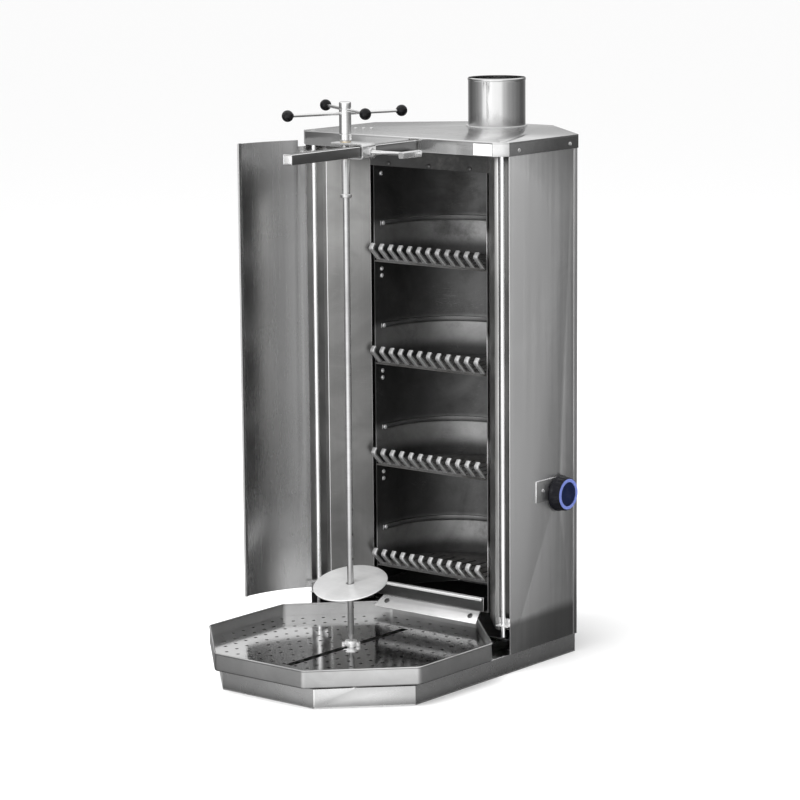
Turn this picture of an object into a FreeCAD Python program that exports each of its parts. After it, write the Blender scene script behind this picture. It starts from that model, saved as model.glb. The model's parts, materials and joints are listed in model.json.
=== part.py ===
"""Upright solid-fuel rotisserie oven, in millimetres.

+X is the oven's right, +Y its back and +Z up. The origin is on the floor,
on the centre line, under the front of the lid.
"""
import FreeCAD, Part
import math
import os

V = FreeCAD.Vector

# ---- driving dimensions -------------------------------------------------
OVERALL_WIDTH = 600.0      # drip tray across its flats
LID_TOP = 1162.0           # top face of the lid
SHEET = 1.5                # folded stainless sheet
LID_FLANGE = 30.0          # turned-down edge of the lid
BASE_HEIGHT = 42.0
TRAY_REAR = 120.0          # rear wall of the drip tray
RIM_TOP = 88.0             # top of the tray's wall
RIM_BOTTOM = 48.5
PLATE_TOP = 60.0           # top face of the perforated plate
SIDE_REAR = 276.0          # where the side turns into the rear corner
REAR_DEPTH = 432.0         # outside of the lid's rear flange
REAR_HALF = 104.0          # half width of the rear face
OPENING_HALF = 167.0       # half width of the fire opening
OPENING_Y = 111.0          # depth of the fire opening behind the lid's front
ROD_RADIUS = 6.0           # hinge rods of the wind wings
ROD_Y = 31.0
LINER_RADIUS = 160.0       # outside of the fire liner
LINER_Y = 190.0            # centre of the liner's round back
SPIT_Y = -173.0            # spit axis in front of the lid's front
SHAFT_RADIUS = 9.0         # upper drive shaft
SKEWER_RADIUS = 7.0
RUNNING_GAP = 0.05         # radial clearance of running fits
BAR_WIDTH = 24.0           # square arm
BAR_HEIGHT = 22.0
FLUE_RADIUS = 65.0         # standard 130 mm smoke pipe
FLUE_HEIGHT = 109.0        # above the lid
FOOT_BEVEL = 0.8           # weld bevel round the foot of the outlet tube
NECK_HEIGHT = 24.0         # neck that joins the outlet tube to the lid
HOLE_PITCH = 33.0          # perforations of the drip plate
HOLE_RADIUS = 4.0
BARS_PER_FENCE = 12
WING_NOTCH = 38.0          # radius round the rod kept clear above the wing
SLOT_HALF = 9.0            # half width of the drip plate's slot

# ---- derived dimensions -------------------------------------------------
TRAY_HALF = OVERALL_WIDTH / 2
TRAY_LEG = OVERALL_WIDTH * (1 - 1 / (1 + math.sqrt(2))) / 2
TRAY_FRONT = TRAY_REAR - OVERALL_WIDTH
TRAY_DIAGONAL = TRAY_HALF - TRAY_LEG + TRAY_REAR   # x + y on the rear corner wall
LID_HALF = TRAY_HALF - 12.5
ROD_X = LID_HALF - 23.5
JAMB_X = ROD_X - 18.0
JAMB_Y = 40.0
BASE_FRONT = TRAY_FRONT + 30.0
LID_UNDER = LID_TOP - SHEET
CASE_TOP = LID_UNDER - 2.5
BAR_LEFT = 36.0
BAR_RIGHT = BAR_LEFT + BAR_WIDTH
BAR_TOP = LID_TOP - 4.0
BAR_BOTTOM = BAR_TOP - BAR_HEIGHT
BAR_FRONT = SPIT_Y - 244.0
GRATE_COUNT = 4
GRATE_PITCH = (LID_TOP - 230.0) / GRATE_COUNT
FIRST_GRATE = 170.0
LINER_INSIDE = LINER_RADIUS - 2.0
SLOT_REAR = SPIT_Y + 189.0
SLOT_FRONT = TRAY_FRONT + 98.0
HEARTH = 101.0

os.makedirs("parts", exist_ok=True)


def save(name, shape):
    """Write one named piece."""
    shape.exportStep("parts/%s.step" % name)


def box(x0, x1, y0, y1, z0, z1):
    """Block between two corners."""
    return Part.makeBox(x1 - x0, y1 - y0, z1 - z0, V(x0, y0, z0))


def cylinder(radius, length, base, axis=(0, 0, 1)):
    """Round bar from a base point along an axis."""
    return Part.makeCylinder(radius, length, V(*base), V(*axis))


def ring(outer, inner, length, base, axis=(0, 0, 1)):
    """Round tube from a base point along an axis."""
    return cylinder(outer, length, base, axis).cut(cylinder(inner, length, base, axis))


def prism(points, z0, z1):
    """Flat outline in plan, raised from z0 to z1."""
    wire = Part.makePolygon([V(x, y, z0) for x, y in points + points[:1]])
    return Part.Face(wire).extrude(V(0, 0, z1 - z0))


def side_prism(points, x0, x1):
    """Outline in the Y-Z plane, swept from x0 to x1."""
    wire = Part.makePolygon([V(x0, y, z) for y, z in points + points[:1]])
    return Part.Face(wire).extrude(V(x1 - x0, 0, 0))


def left_normal(a, b):
    """Unit normal on the left of the line from a to b."""
    dx, dy = b[0] - a[0], b[1] - a[1]
    length = math.hypot(dx, dy)
    return (-dy / length, dx / length)


def mitre(before, corner, after, distance):
    """Corner point moved to the left of both lines by a distance."""
    n1, n2 = left_normal(before, corner), left_normal(corner, after)
    scale = distance / (1 + n1[0] * n2[0] + n1[1] * n2[1])
    return (corner[0] + (n1[0] + n2[0]) * scale, corner[1] + (n1[1] + n2[1]) * scale)


def inset(points, distance):
    """Closed outline, anticlockwise, moved inwards by a distance."""
    count = len(points)
    return [mitre(points[i - 1], points[i], points[(i + 1) % count], distance)
            for i in range(count)]


def beside(path, distance):
    """Open path moved to its left by a distance."""
    n0, n1 = left_normal(path[0], path[1]), left_normal(path[-2], path[-1])
    moved = [(path[0][0] + n0[0] * distance, path[0][1] + n0[1] * distance)]
    for before, corner, after in zip(path, path[1:], path[2:]):
        moved.append(mitre(before, corner, after, distance))
    moved.append((path[-1][0] + n1[0] * distance, path[-1][1] + n1[1] * distance))
    return moved


def folded(path, thickness, z0, z1):
    """Upright folded sheet whose thickness lies on the left of its path."""
    return prism(path + beside(path, thickness)[::-1], z0, z1)


def mirrored(shape):
    """The same piece on the other side of the centre line."""
    return shape.mirror(V(0, 0, 0), V(1, 0, 0))


def horseshoe(radius, y_front, z0, z1):
    """Plan shape of the fire space: straight sides and a round back."""
    front = box(-radius, radius, y_front, LINER_Y, z0, z1)
    back = Part.makeCylinder(radius, z1 - z0, V(0, LINER_Y, z0), V(0, 0, 1), 180)
    return front.fuse(back).removeSplitter()


def together(shapes):
    """Several solids kept as one piece."""
    return Part.makeCompound(shapes)


def joined(shapes):
    """Several touching solids fused to one."""
    return shapes[0].fuse(shapes[1:]).removeSplitter()


# ---- outlines in plan, anticlockwise from the front left ------------------
LID = [(-LID_HALF + 25, 0), (LID_HALF - 25, 0), (LID_HALF, 25), (LID_HALF, SIDE_REAR),
       (REAR_HALF, REAR_DEPTH), (-REAR_HALF, REAR_DEPTH), (-LID_HALF, SIDE_REAR),
       (-LID_HALF, 25)]
CASE = inset(LID, 2.0)
TRAY = [(-TRAY_HALF + TRAY_LEG, TRAY_FRONT), (TRAY_HALF - TRAY_LEG, TRAY_FRONT),
        (TRAY_HALF, TRAY_FRONT + TRAY_LEG), (TRAY_HALF, TRAY_REAR - TRAY_LEG),
        (TRAY_HALF - TRAY_LEG, TRAY_REAR), (-TRAY_HALF + TRAY_LEG, TRAY_REAR),
        (-TRAY_HALF, TRAY_REAR - TRAY_LEG), (-TRAY_HALF, TRAY_FRONT + TRAY_LEG)]
BASE_LEG = TRAY_LEG - 24.0
BASE_HALF = TRAY_HALF - 19.5
BASE = [(-BASE_HALF + BASE_LEG, BASE_FRONT), (BASE_HALF - BASE_LEG, BASE_FRONT),
        (BASE_HALF, BASE_FRONT + BASE_LEG), (BASE_HALF, SIDE_REAR - 1.0),
        (REAR_HALF - 2.0, REAR_DEPTH - 8.0), (-REAR_HALF + 2.0, REAR_DEPTH - 8.0),
        (-BASE_HALF, SIDE_REAR - 1.0), (-BASE_HALF, BASE_FRONT + BASE_LEG)]


# ---- base ----------------------------------------------------------------
def make_base():
    """Base tray with its two raised ribs, and the sheet under it."""
    shell = prism(BASE, 2.0, BASE_HEIGHT).cut(prism(inset(BASE, 2.0), 2.0, BASE_HEIGHT - 2.0))
    ribs = [box(side * TRAY_HALF * 0.6 - 12, side * TRAY_HALF * 0.6 + 12,
                TRAY_FRONT + 90, TRAY_REAR - 60, BASE_HEIGHT, RIM_BOTTOM) for side in (-1, 1)]
    save("base_pan", joined([shell] + ribs))
    save("base_floor", prism(BASE, 0.0, 2.0))


def make_tray():
    """Drip pan and the perforated plate that lies in it."""
    pan = prism(TRAY, RIM_BOTTOM, RIM_TOP).cut(
        prism(inset(TRAY, SHEET), RIM_BOTTOM + SHEET, RIM_TOP))
    save("drip_tray", pan)
    outline = inset(TRAY, SHEET + 2.0)
    plate = prism(outline, PLATE_TOP - 2.0, PLATE_TOP)
    safe = prism(inset(outline, HOLE_RADIUS + 8.0), PLATE_TOP - 1.5, PLATE_TOP - 0.5)
    middle = TRAY_REAR - TRAY_HALF
    reach = int(TRAY_HALF / HOLE_PITCH) + 1
    feet_at = [(sx * TRAY_HALF * 0.45, middle + sy * TRAY_HALF * 0.45)
               for sx in (-1, 1) for sy in (-1, 1)]
    holes = []
    for i in range(-reach, reach):
        for j in range(-reach, reach + 1):
            x, y = (i + 0.5) * HOLE_PITCH, middle + j * HOLE_PITCH
            near_foot = any(math.hypot(x - fx, y - fy) < 16 for fx, fy in feet_at)
            near_slot = abs(x) < SLOT_HALF + HOLE_RADIUS + 1
            if safe.isInside(V(x, y, PLATE_TOP - 1.0), 0.01, True) and not near_foot \
                    and not near_slot:
                holes.append(cylinder(HOLE_RADIUS, 4.0, (x, y, PLATE_TOP - 3.0)))
    slot = box(-SLOT_HALF, SLOT_HALF, SLOT_FRONT, SLOT_REAR, PLATE_TOP - 3, PLATE_TOP + 1)
    feet = [cylinder(8.0, PLATE_TOP - 2.0 - RIM_BOTTOM - SHEET, (fx, fy, RIM_BOTTOM + SHEET))
            for fx, fy in feet_at]
    plate = plate.cut(together(holes + [slot]))
    save("drip_plate", joined([plate] + feet))


# ---- casing ----------------------------------------------------------------
def make_casing():
    """Side panels and the folded rear casing."""
    half = CASE[3][0]
    seam = SIDE_REAR - 14.0
    knob_y, knob_z = KNOB_Y, KNOB_Z
    right = box(half - SHEET, half, 27.0, seam - 1.0, BASE_HEIGHT, CASE_TOP)
    left = mirrored(right)
    right = right.cut(cylinder(7.0, 20, (half - 10, knob_y, knob_z), (1, 0, 0)))
    save("side_panel_right", right)
    save("side_panel_left", left)
    path = [(half, seam), CASE[3], CASE[4], CASE[5], CASE[6], (-half, seam)]
    save("rear_casing", folded(path, SHEET, BASE_HEIGHT, CASE_TOP))
    floor = prism(inset(CASE, SHEET), BASE_HEIGHT, BASE_HEIGHT + SHEET)
    front = box(-OVERALL_WIDTH, OVERALL_WIDTH, -50, TRAY_REAR + 10, BASE_HEIGHT - 5,
                BASE_HEIGHT + 5)
    save("case_floor", floor.cut(front))


def make_lid():
    """Lid with its flange, the smoke outlet and its flange ring."""
    lid = prism(LID, LID_TOP - LID_FLANGE, LID_TOP)
    lid = lid.cut(prism(inset(LID, SHEET), LID_TOP - LID_FLANGE, LID_UNDER))
    arm_hole = box(BAR_LEFT - 3, BAR_RIGHT + 3, -5, 8, BAR_BOTTOM - 2, BAR_TOP + 2)
    bore = FLUE_RADIUS - SHEET
    flue_hole = cylinder(bore, 10, (0, FLUE_Y, LID_TOP - 5))
    rods = [cylinder(ROD_RADIUS, 10, (side * ROD_X, ROD_Y, LID_TOP - 5)) for side in (-1, 1)]
    save("top_plate", lid.cut(together([arm_hole, flue_hole] + rods)))
    seat = LID_TOP + SHEET
    pipe = ring(FLUE_RADIUS, bore, FLUE_HEIGHT - SHEET, (0, FLUE_Y, seat))
    # the tube's foot is bevelled all round to leave room for its weld
    bevel = cylinder(FLUE_RADIUS + 1.0, FOOT_BEVEL, (0, FLUE_Y, seat)).cut(
        Part.makeCone(FLUE_RADIUS - FOOT_BEVEL, FLUE_RADIUS, FOOT_BEVEL, V(0, FLUE_Y, seat)))
    save("flue_pipe", pipe.cut(bevel))
    flange = ring(FLUE_RADIUS + 5.0, bore, SHEET, (0, FLUE_Y, LID_TOP))
    neck = ring(bore, bore - SHEET, NECK_HEIGHT, (0, FLUE_Y, LID_TOP - NECK_HEIGHT / 2))
    save("flue_collar", joined([flange, neck]))


def make_jambs():
    """Flared folded cheeks, each closed to its side panel behind the rod."""
    path = [(OPENING_HALF, OPENING_Y + 17), (OPENING_HALF, OPENING_Y), (JAMB_X - 10, JAMB_Y),
            (JAMB_X, JAMB_Y), (JAMB_X, JAMB_Y + 12), (CASE[3][0] - SHEET, JAMB_Y + 12)]
    right = folded(path, SHEET, RIM_TOP + 2.0, CASE_TOP)
    save("jamb_right", right)
    save("jamb_left", mirrored(right))


# ---- fire space --------------------------------------------------------------
def make_fire_space():
    """Liner, floor, ceiling plates, half rings and bolts."""
    deck_z = LID_TOP - 42.0
    front = OPENING_Y + 2.0
    liner = horseshoe(LINER_RADIUS, front, HEARTH, deck_z + SHEET).cut(
        horseshoe(LINER_INSIDE, front - 5, HEARTH, deck_z + SHEET))
    save("fire_liner", liner)
    deck = prism(inset(CASE, SHEET), deck_z, deck_z + SHEET)
    for x0, x1, rear in ((-LID_HALF, -OPENING_HALF, 17), (OPENING_HALF, LID_HALF, 17),
                         (-OPENING_HALF, OPENING_HALF, SHEET)):
        deck = deck.cut(box(x0, x1, -5, OPENING_Y + rear, deck_z - 1, deck_z + 3))
    deck = deck.cut(horseshoe(LINER_RADIUS, 0, deck_z - 1, deck_z + 3))
    save("smoke_deck", deck)
    baffle_z = LID_TOP - 79.0
    save("top_baffle", box(-OPENING_HALF, OPENING_HALF, OPENING_Y, OPENING_Y + SHEET,
                           baffle_z, CASE_TOP))
    hearth = horseshoe(LINER_INSIDE, front, HEARTH, HEARTH + SHEET)
    save("hearth_plate", hearth)
    rings, bolts = [], []
    for index in range(GRATE_COUNT):
        level = FIRST_GRATE + GRATE_PITCH * index
        outer = horseshoe(LINER_INSIDE, OPENING_Y + 20, level + 76, level + 88)
        rings.append(outer.cut(horseshoe(LINER_INSIDE - 4, 0, level + 75, level + 89)))
        heights = [level - 21, level - 37] if index else []
        bolts += [(OPENING_Y + 26, z, 0.0) for z in heights]
        bolts.append((OPENING_Y + 28, level + 82, 4.0))
    bolts.append((OPENING_Y + 26, LID_TOP - 99, 0.0))
    save("back_rings", together(rings))
    heads = []
    for side in (-1, 1):
        for y, z, stand in bolts:
            base = (side * (LINER_INSIDE - stand), y, z)
            heads.append(cylinder(5.0, 3.0, base, (-side, 0, 0)))
    for x in (-114.0, 0.0, 114.0):
        heads.append(cylinder(5.0, 3.0, (x, OPENING_Y - 3.0, baffle_z + 6.0), (0, 1, 0)))
    save("liner_bolts", together(heads))


def make_grate(index):
    """One slotted shelf and its fence of bent bars."""
    level = FIRST_GRATE + GRATE_PITCH * index
    front = OPENING_Y + 2.0
    shelf = horseshoe(LINER_INSIDE, front, level - 3.0, level)
    slots = [box(i * 30.0 - 4, i * 30.0 + 4, front + 20, LINER_Y + LINER_RADIUS * 0.55,
                 level - 4, level + 1) for i in range(-4, 5)]
    save("shelf_%d" % (index + 1), shelf.cut(together(slots)))
    half = LINER_INSIDE - 8.0
    carrier = box(-half, half, front - 1.0, front + 5.0, level, level + 5.0)
    line = [(front + 3.0, level + 1.5), (front - 26.0, level + 28.0), (front - 12.0, level + 40.0)]
    outline = beside(line, 2.0) + beside(line, -2.0)[::-1]
    span = 2 * (half - 3.0)
    bars = []
    for bar in range(BARS_PER_FENCE):
        x = -span / 2 + span * bar / (BARS_PER_FENCE - 1)
        bars.append(side_prism(outline, x - 5.0, x + 5.0))
    below = box(-half - 9, half + 9, front - 30, front + 9, level - 20, level)
    fence = carrier.fuse(bars).cut(below).removeSplitter()
    save("fence_%d" % (index + 1), fence)


def make_deflector():
    """Sloping plate below the fire opening."""
    y0, y1 = OPENING_Y - 26.0, OPENING_Y
    z0, z1 = HEARTH - 23.0, HEARTH - 2.0
    wide = TRAY_DIAGONAL - y0 - 13.0
    narrow = wide - 8.0
    corners = [V(-wide, y0, z0), V(wide, y0, z0), V(narrow, y1, z1), V(-narrow, y1, z1)]
    face = Part.Face(Part.makePolygon(corners + corners[:1]))
    slope = math.hypot(y1 - y0, z1 - z0)
    normal = V(0, -(z1 - z0) / slope, (y1 - y0) / slope)
    fold = box(-narrow, narrow, y1 - 1.0, y1 + 16.0, HEARTH - 2.0, HEARTH)
    above = box(-wide, wide, y1 - 9.0, y1 + 9.0, HEARTH, HEARTH + 9.0)
    save("deflector_plate", joined([face.extrude(normal * 2.0).cut(above), fold]))
    screws = []
    for side in (-1, 1):
        spot = V(side * (narrow - 18), y0 + (y1 - y0) * 0.55, z0 + (z1 - z0) * 0.55)
        spot = spot + normal * 2.0
        screws.append(Part.makeCylinder(5.0, 2.5, spot, normal))
    for i in range(3):
        screws.append(cylinder(4.0, 2.0, (-217 + 15 * i, 121 + 10 * i, LID_TOP)))
    for side in (-1, 1):
        for y in (60.0, SIDE_REAR - 31.0):
            screws.append(cylinder(4.0, 2.0, (side * LID_HALF, y, LID_TOP - 19), (side, 0, 0)))
    plate_x = CASE[3][0] + 2.0
    screws.append(cylinder(4.0, 2.0, (plate_x, KNOB_Y - 58, KNOB_Z + 14), (1, 0, 0)))
    save("panel_screws", together(screws))


def make_ash_pan():
    """Ash pan under the lowest grate, with its rolled front edge."""
    front, low, high = OPENING_Y - 3.0, HEARTH + SHEET + 0.5, HEARTH + 34.0
    half = LINER_INSIDE - 8.0
    rear = LINER_Y + LINER_INSIDE - 33.0
    plan = [(-half, front), (half, front), (half, LINER_Y + 33), (half * 0.53, rear),
            (-half * 0.53, rear), (-half, LINER_Y + 33)]
    pan = prism(plan, low, high).cut(prism(inset(plan, SHEET), low + SHEET, high))
    save("ash_pan", pan)
    lip = cylinder(4.0, 2 * half, (-half, front - 4.0, high - 4.0), (1, 0, 0))
    save("pan_lip", lip)


# ---- hinge rods and wind wing -------------------------------------------------
def make_rods():
    """Two full-height rods ending flush with the lid, their brackets and set collar."""
    bottom = RIM_TOP - 10.0
    inner = CASE[3][0] - SHEET
    for side, name in ((-1, "left"), (1, "right")):
        rod = cylinder(ROD_RADIUS, LID_TOP - bottom, (side * ROD_X, ROD_Y, bottom))
        save("hinge_rod_" + name, rod)
    save("rod_fittings", ring(10.0, ROD_RADIUS, 8.0, (-ROD_X, ROD_Y, LUG_LOW - 8.5)))
    leaf = box(JAMB_X + 1.0, inner, JAMB_Y - 1.5, JAMB_Y + 0.5, RIM_TOP + 16, LUG_LOW - 11)
    tab = box(ROD_X - 13, inner, ROD_Y - 12, JAMB_Y - 1.5, RIM_TOP + 16, RIM_TOP + 18)
    hole = cylinder(ROD_RADIUS, 20, (ROD_X, ROD_Y, RIM_TOP + 5))
    right = leaf.fuse(tab).cut(hole).removeSplitter()
    save("hinge_plate_right", right)
    save("hinge_plate_left", mirrored(right))


def make_wing():
    """Curved wind wing on the left rod, with its two hinge lugs."""
    low, high = RIM_TOP + 30.0, LID_TOP - 20.0
    under_lid = LID_TOP - LID_FLANGE - 4.0
    near = V(-ROD_X - 6.0, ROD_Y - 19.5, low)
    chord = V(-58.0, -163.0, 0)
    far = near + chord
    length = chord.Length
    along = V(chord).normalize()
    across = V(-along.y, along.x, 0)          # towards the spit
    sagitta = 14.0
    radius = length * length / (8 * sagitta) + sagitta / 2
    middle = near + chord * 0.5
    centre = middle + across * (radius - sagitta)
    crown = middle - across * sagitta

    def pushed(point, extra):
        return centre + (point - centre).normalize() * (radius + extra)

    inner = Part.Arc(near, crown, far).toShape()
    outer = Part.Arc(pushed(near, 2.0), pushed(crown, 2.0), pushed(far, 2.0)).toShape()
    wire = Part.Wire([inner, Part.makeLine(far, pushed(far, 2.0)), outer,
                      Part.makeLine(pushed(near, 2.0), near)])
    # the upper corner beside the rod is notched, so that it swings under the lid
    notch = cylinder(WING_NOTCH, high - under_lid + 5.0, (-ROD_X, ROD_Y, under_lid))
    save("wing_door", Part.Face(wire).extrude(V(0, 0, high - low)).cut(notch))
    lugs = []
    pin = V(-ROD_X, ROD_Y, 0)
    toward = (V(near.x, near.y, 0) - pin).normalize()
    side = V(-toward.y, toward.x, 0) * 5.0
    reach = (V(near.x, near.y, 0) - pin).Length + 12.0
    for z in (LUG_LOW, under_lid - 14.0):
        strip = [pin + side, pin - side, pin + toward * reach - side, pin + toward * reach + side]
        arm = prism([(p.x, p.y) for p in strip][::-1], z, z + 4.0)
        eye = cylinder(ROD_RADIUS + 4.5, 4.0, (-ROD_X, ROD_Y, z))
        bore = cylinder(ROD_RADIUS + RUNNING_GAP, 10.0, (-ROD_X, ROD_Y, z - 3))
        sheet = Part.Face(wire).extrude(V(0, 0, high - low))
        lug = arm.fuse(eye).cut(bore).cut(sheet).removeSplitter()
        lugs.append(max(lug.Solids, key=lambda solid: solid.Volume))
    save("door_lugs", together(lugs))


# ---- arm, carriage and spit ----------------------------------------------------
def make_arm():
    """Square arm, its socket under the lid and its end cap."""
    rear = OPENING_Y - 11.0
    bar = box(BAR_LEFT, BAR_RIGHT, BAR_FRONT, rear, BAR_BOTTOM, BAR_TOP)
    hollow = box(BAR_LEFT + 2, BAR_RIGHT - 2, BAR_FRONT, rear, BAR_BOTTOM + 2, BAR_TOP - 2)
    save("arm_bar", bar.cut(hollow))
    save("arm_end_cap", box(BAR_LEFT + 2, BAR_RIGHT - 2, BAR_FRONT, BAR_FRONT + 3,
                            BAR_BOTTOM + 2, BAR_TOP - 2))
    socket = box(BAR_LEFT - 2, BAR_RIGHT + 2, SHEET + 1, rear - 2, BAR_BOTTOM - 2, LID_UNDER)
    save("arm_socket", socket.cut(box(BAR_LEFT, BAR_RIGHT, -5, rear + 5, BAR_BOTTOM, BAR_TOP)))
    plate = box(LID_HALF - 76.5, LID_HALF - 27.5, -1.0, 0, LID_TOP - 28, LID_TOP - 4)
    save("rating_plate", plate)


def make_carriage():
    """C-shaped bracket on the arm, its bushes and the clamp screw."""
    y0, y1 = SPIT_Y - 22.0, SPIT_Y + 22.0
    gap, thick = 1.0, 5.0
    inside = BAR_RIGHT + gap
    outside = inside + thick
    high, low = BAR_TOP + gap, BAR_BOTTOM - gap
    bracket = joined([box(-22, outside, y0, y1, high, high + thick),
                      box(inside, outside, y0, y1, low - thick, high + thick),
                      box(-14, outside, y0, y1, low - thick, low)])
    screw_z = (BAR_TOP + BAR_BOTTOM) / 2 - 1.0
    bush = SHAFT_RADIUS + 3.0
    holes = [cylinder(bush, 60, (0, SPIT_Y, low - 20)),
             cylinder(4.5 + RUNNING_GAP, 20, (inside - 5, SPIT_Y, screw_z), (1, 0, 0))]
    save("spit_bracket", bracket.cut(together(holes)))
    bushes = [ring(bush, SHAFT_RADIUS + RUNNING_GAP, thick + 2.0, (0, SPIT_Y, high)),
              ring(bush, SHAFT_RADIUS + RUNNING_GAP, thick + 2.0, (0, SPIT_Y, low - thick - 2.0))]
    save("bracket_bushings", together(bushes))
    nut = [(9.5 * math.cos(math.radians(60 * i + 30)), 9.5 * math.sin(math.radians(60 * i + 30)))
           for i in range(6)]
    nut = side_prism([(SPIT_Y + a, screw_z + b) for a, b in nut], outside, outside + 8.0)
    save("clamp_nut", nut.cut(cylinder(4.5 + RUNNING_GAP, 30, (inside, SPIT_Y, screw_z),
                                       (1, 0, 0))))
    tip = BAR_RIGHT + 0.3
    reach = BAR_RIGHT + 90.0
    save("clamp_screw", cylinder(4.5, reach - tip, (tip, SPIT_Y, screw_z), (1, 0, 0)))
    lever = box(reach, reach + 14, SPIT_Y - 7, SPIT_Y + 57, screw_z - 10, screw_z + 4.5)
    save("clamp_lever", lever)


def make_spit():
    """Skewer, drive shaft, hand star, meat disc and its cross pin."""
    tip = PLATE_TOP + 4.3
    joint = LID_TOP - 117.0
    level = 200.0
    lean = V(0.048, -0.283, 1.0)                # the disc hangs tilted on its pin
    tilt = V(lean).normalize()
    across = V(0.283, 0.048, 0).normalize()
    pin_z = level - 4.5 * lean.Length
    body = cylinder(SKEWER_RADIUS, joint - tip - 22.7, (0, SPIT_Y, tip + 22.7))
    point = Part.makeCone(3.0, SKEWER_RADIUS, 14.0, V(0, SPIT_Y, tip + 8.7))
    end = cylinder(3.0, 8.7, (0, SPIT_Y, tip))
    rod = joined([body, point, end])
    pin = Part.makeCylinder(3.0, 40, V(0, SPIT_Y, pin_z) - across * 20, across)
    cross = [Part.makeCylinder(2.5, 40, V(0, SPIT_Y, z) - across * 20, across)
             for z in (146.0, 255.0, 310.0, 365.0)]
    save("skewer", rod.cut(together(cross + [pin])))
    save("disc_pin", pin)
    centre = V(0, SPIT_Y, level)
    disc = Part.makeCylinder(82.5, 3.0, centre - tilt * 1.5, tilt)
    disc = disc.cut(Part.makeCylinder(SKEWER_RADIUS + 2.2, 9.0, centre - tilt * 4.5, tilt))
    save("spit_disc", disc)
    hub_low = BAR_TOP + 1.0 + 5.0 + 4.0
    shaft = cylinder(SHAFT_RADIUS, hub_low - joint, (0, SPIT_Y, joint))
    shoulder = cylinder(SHAFT_RADIUS + 3.0, 7.0, (0, SPIT_Y, joint))
    save("drive_shaft", joined([shaft, shoulder]))
    hub_top = LID_TOP + 88.0
    rods = []
    ball_holes = []
    balls = []
    for angle, z in ((67.0, LID_TOP + 63.0), (-32.0, LID_TOP + 71.0)):
        way = V(math.cos(math.radians(angle)), math.sin(math.radians(angle)), 0)
        start = V(0, SPIT_Y, z) - way * 132.0
        bar = Part.makeCylinder(3.5, 264.0, start, way)
        rods.append(bar)
        for end in (-1, 1):
            ball_holes.append(bar)
            balls.append(Part.makeSphere(12.5, V(0, SPIT_Y, z) + way * (136.0 * end)).cut(bar))
    hub = cylinder(SHAFT_RADIUS + 4.0, hub_top - hub_low, (0, SPIT_Y, hub_low))
    edge = [e for e in hub.Edges if abs(e.BoundBox.ZMin - hub_top) < 0.01
            and abs(e.BoundBox.ZMax - hub_top) < 0.01]
    hub = hub.makeChamfer(2.0, edge)
    save("handle_hub", hub.cut(together(rods)))
    save("handle_rods", together(rods))
    save("ball_knobs", together(balls))


def make_foot_bearing():
    """Sliding foot bearing: lobed boss, neck through the slot, washer."""
    top = PLATE_TOP + 12.0
    boss = cylinder(13.0, 11.7, (0, SPIT_Y, PLATE_TOP + 0.3))
    lobes = [cylinder(7.0, 7.7, (13.5 * math.cos(math.radians(45 + 90 * i)),
                                 SPIT_Y + 13.5 * math.sin(math.radians(45 + 90 * i)),
                                 PLATE_TOP + 0.3)) for i in range(4)]
    neck = cylinder(SLOT_HALF - 1.0, 5.3, (0, SPIT_Y, PLATE_TOP - 5.0))
    cup = cylinder(3.0 + RUNNING_GAP, 30, (0, SPIT_Y, PLATE_TOP + 4.0))
    save("lower_bearing", joined([boss] + lobes + [neck]).cut(cup))
    save("bearing_washer", cylinder(15.0, 2.5, (0, SPIT_Y, PLATE_TOP - 7.5)))


def make_knob():
    """Side control knob with its shaft and the plate behind it."""
    face = CASE[3][0]
    plate = box(face, face + 2.0, KNOB_Y - 82, KNOB_Y + 22, KNOB_Z - 11, KNOB_Z + 37)
    hole = cylinder(5.0 + RUNNING_GAP, 20, (face - 5, KNOB_Y, KNOB_Z), (1, 0, 0))
    save("knob_backplate", plate.cut(hole))
    start = face + 2.5
    skirt = cylinder(40.0, 6.0, (start, KNOB_Y, KNOB_Z), (1, 0, 0))
    grip = Part.makeCone(38.5, 36.0, 20.0, V(start + 6.0, KNOB_Y, KNOB_Z), V(1, 0, 0))
    bore = cylinder(5.0, 8.0, (start, KNOB_Y, KNOB_Z), (1, 0, 0))
    groove = ring(34.0, 27.0, 2.0, (start + 24.0, KNOB_Y, KNOB_Z), (1, 0, 0))
    save("knob_body", joined([skirt, grip]).cut(together([bore, groove])))
    save("knob_ring", ring(34.0, 27.0, 3.5, (start + 24.0, KNOB_Y, KNOB_Z), (1, 0, 0)))
    shaft = cylinder(5.0, 32.5, (start - 24.5, KNOB_Y, KNOB_Z), (1, 0, 0))
    stop = cylinder(9.0, 3.0, (start - 24.5, KNOB_Y, KNOB_Z), (1, 0, 0))
    save("knob_shaft", joined([shaft, stop]))


FLUE_Y = REAR_DEPTH - FLUE_RADIUS - 7.0
KNOB_Y = SIDE_REAR - 73.0
KNOB_Z = 375.0
LUG_LOW = RIM_TOP + 42.0

make_base()
make_tray()
make_casing()
make_lid()
make_jambs()
make_fire_space()
for number in range(GRATE_COUNT):
    make_grate(number)
make_deflector()
make_ash_pan()
make_rods()
make_wing()
make_arm()
make_carriage()
make_spit()
make_foot_bearing()
make_knob()
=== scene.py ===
"""Looks of an upright solid-fuel rotisserie oven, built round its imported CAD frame.

Lengths are in metres in the CAD's own frame: +X is the oven's right, +Y its back
and +Z up. Every CAD node keeps its place and mesh. It is either dressed in a
worked material or stands hidden behind a finer surface of the same size.
"""

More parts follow.
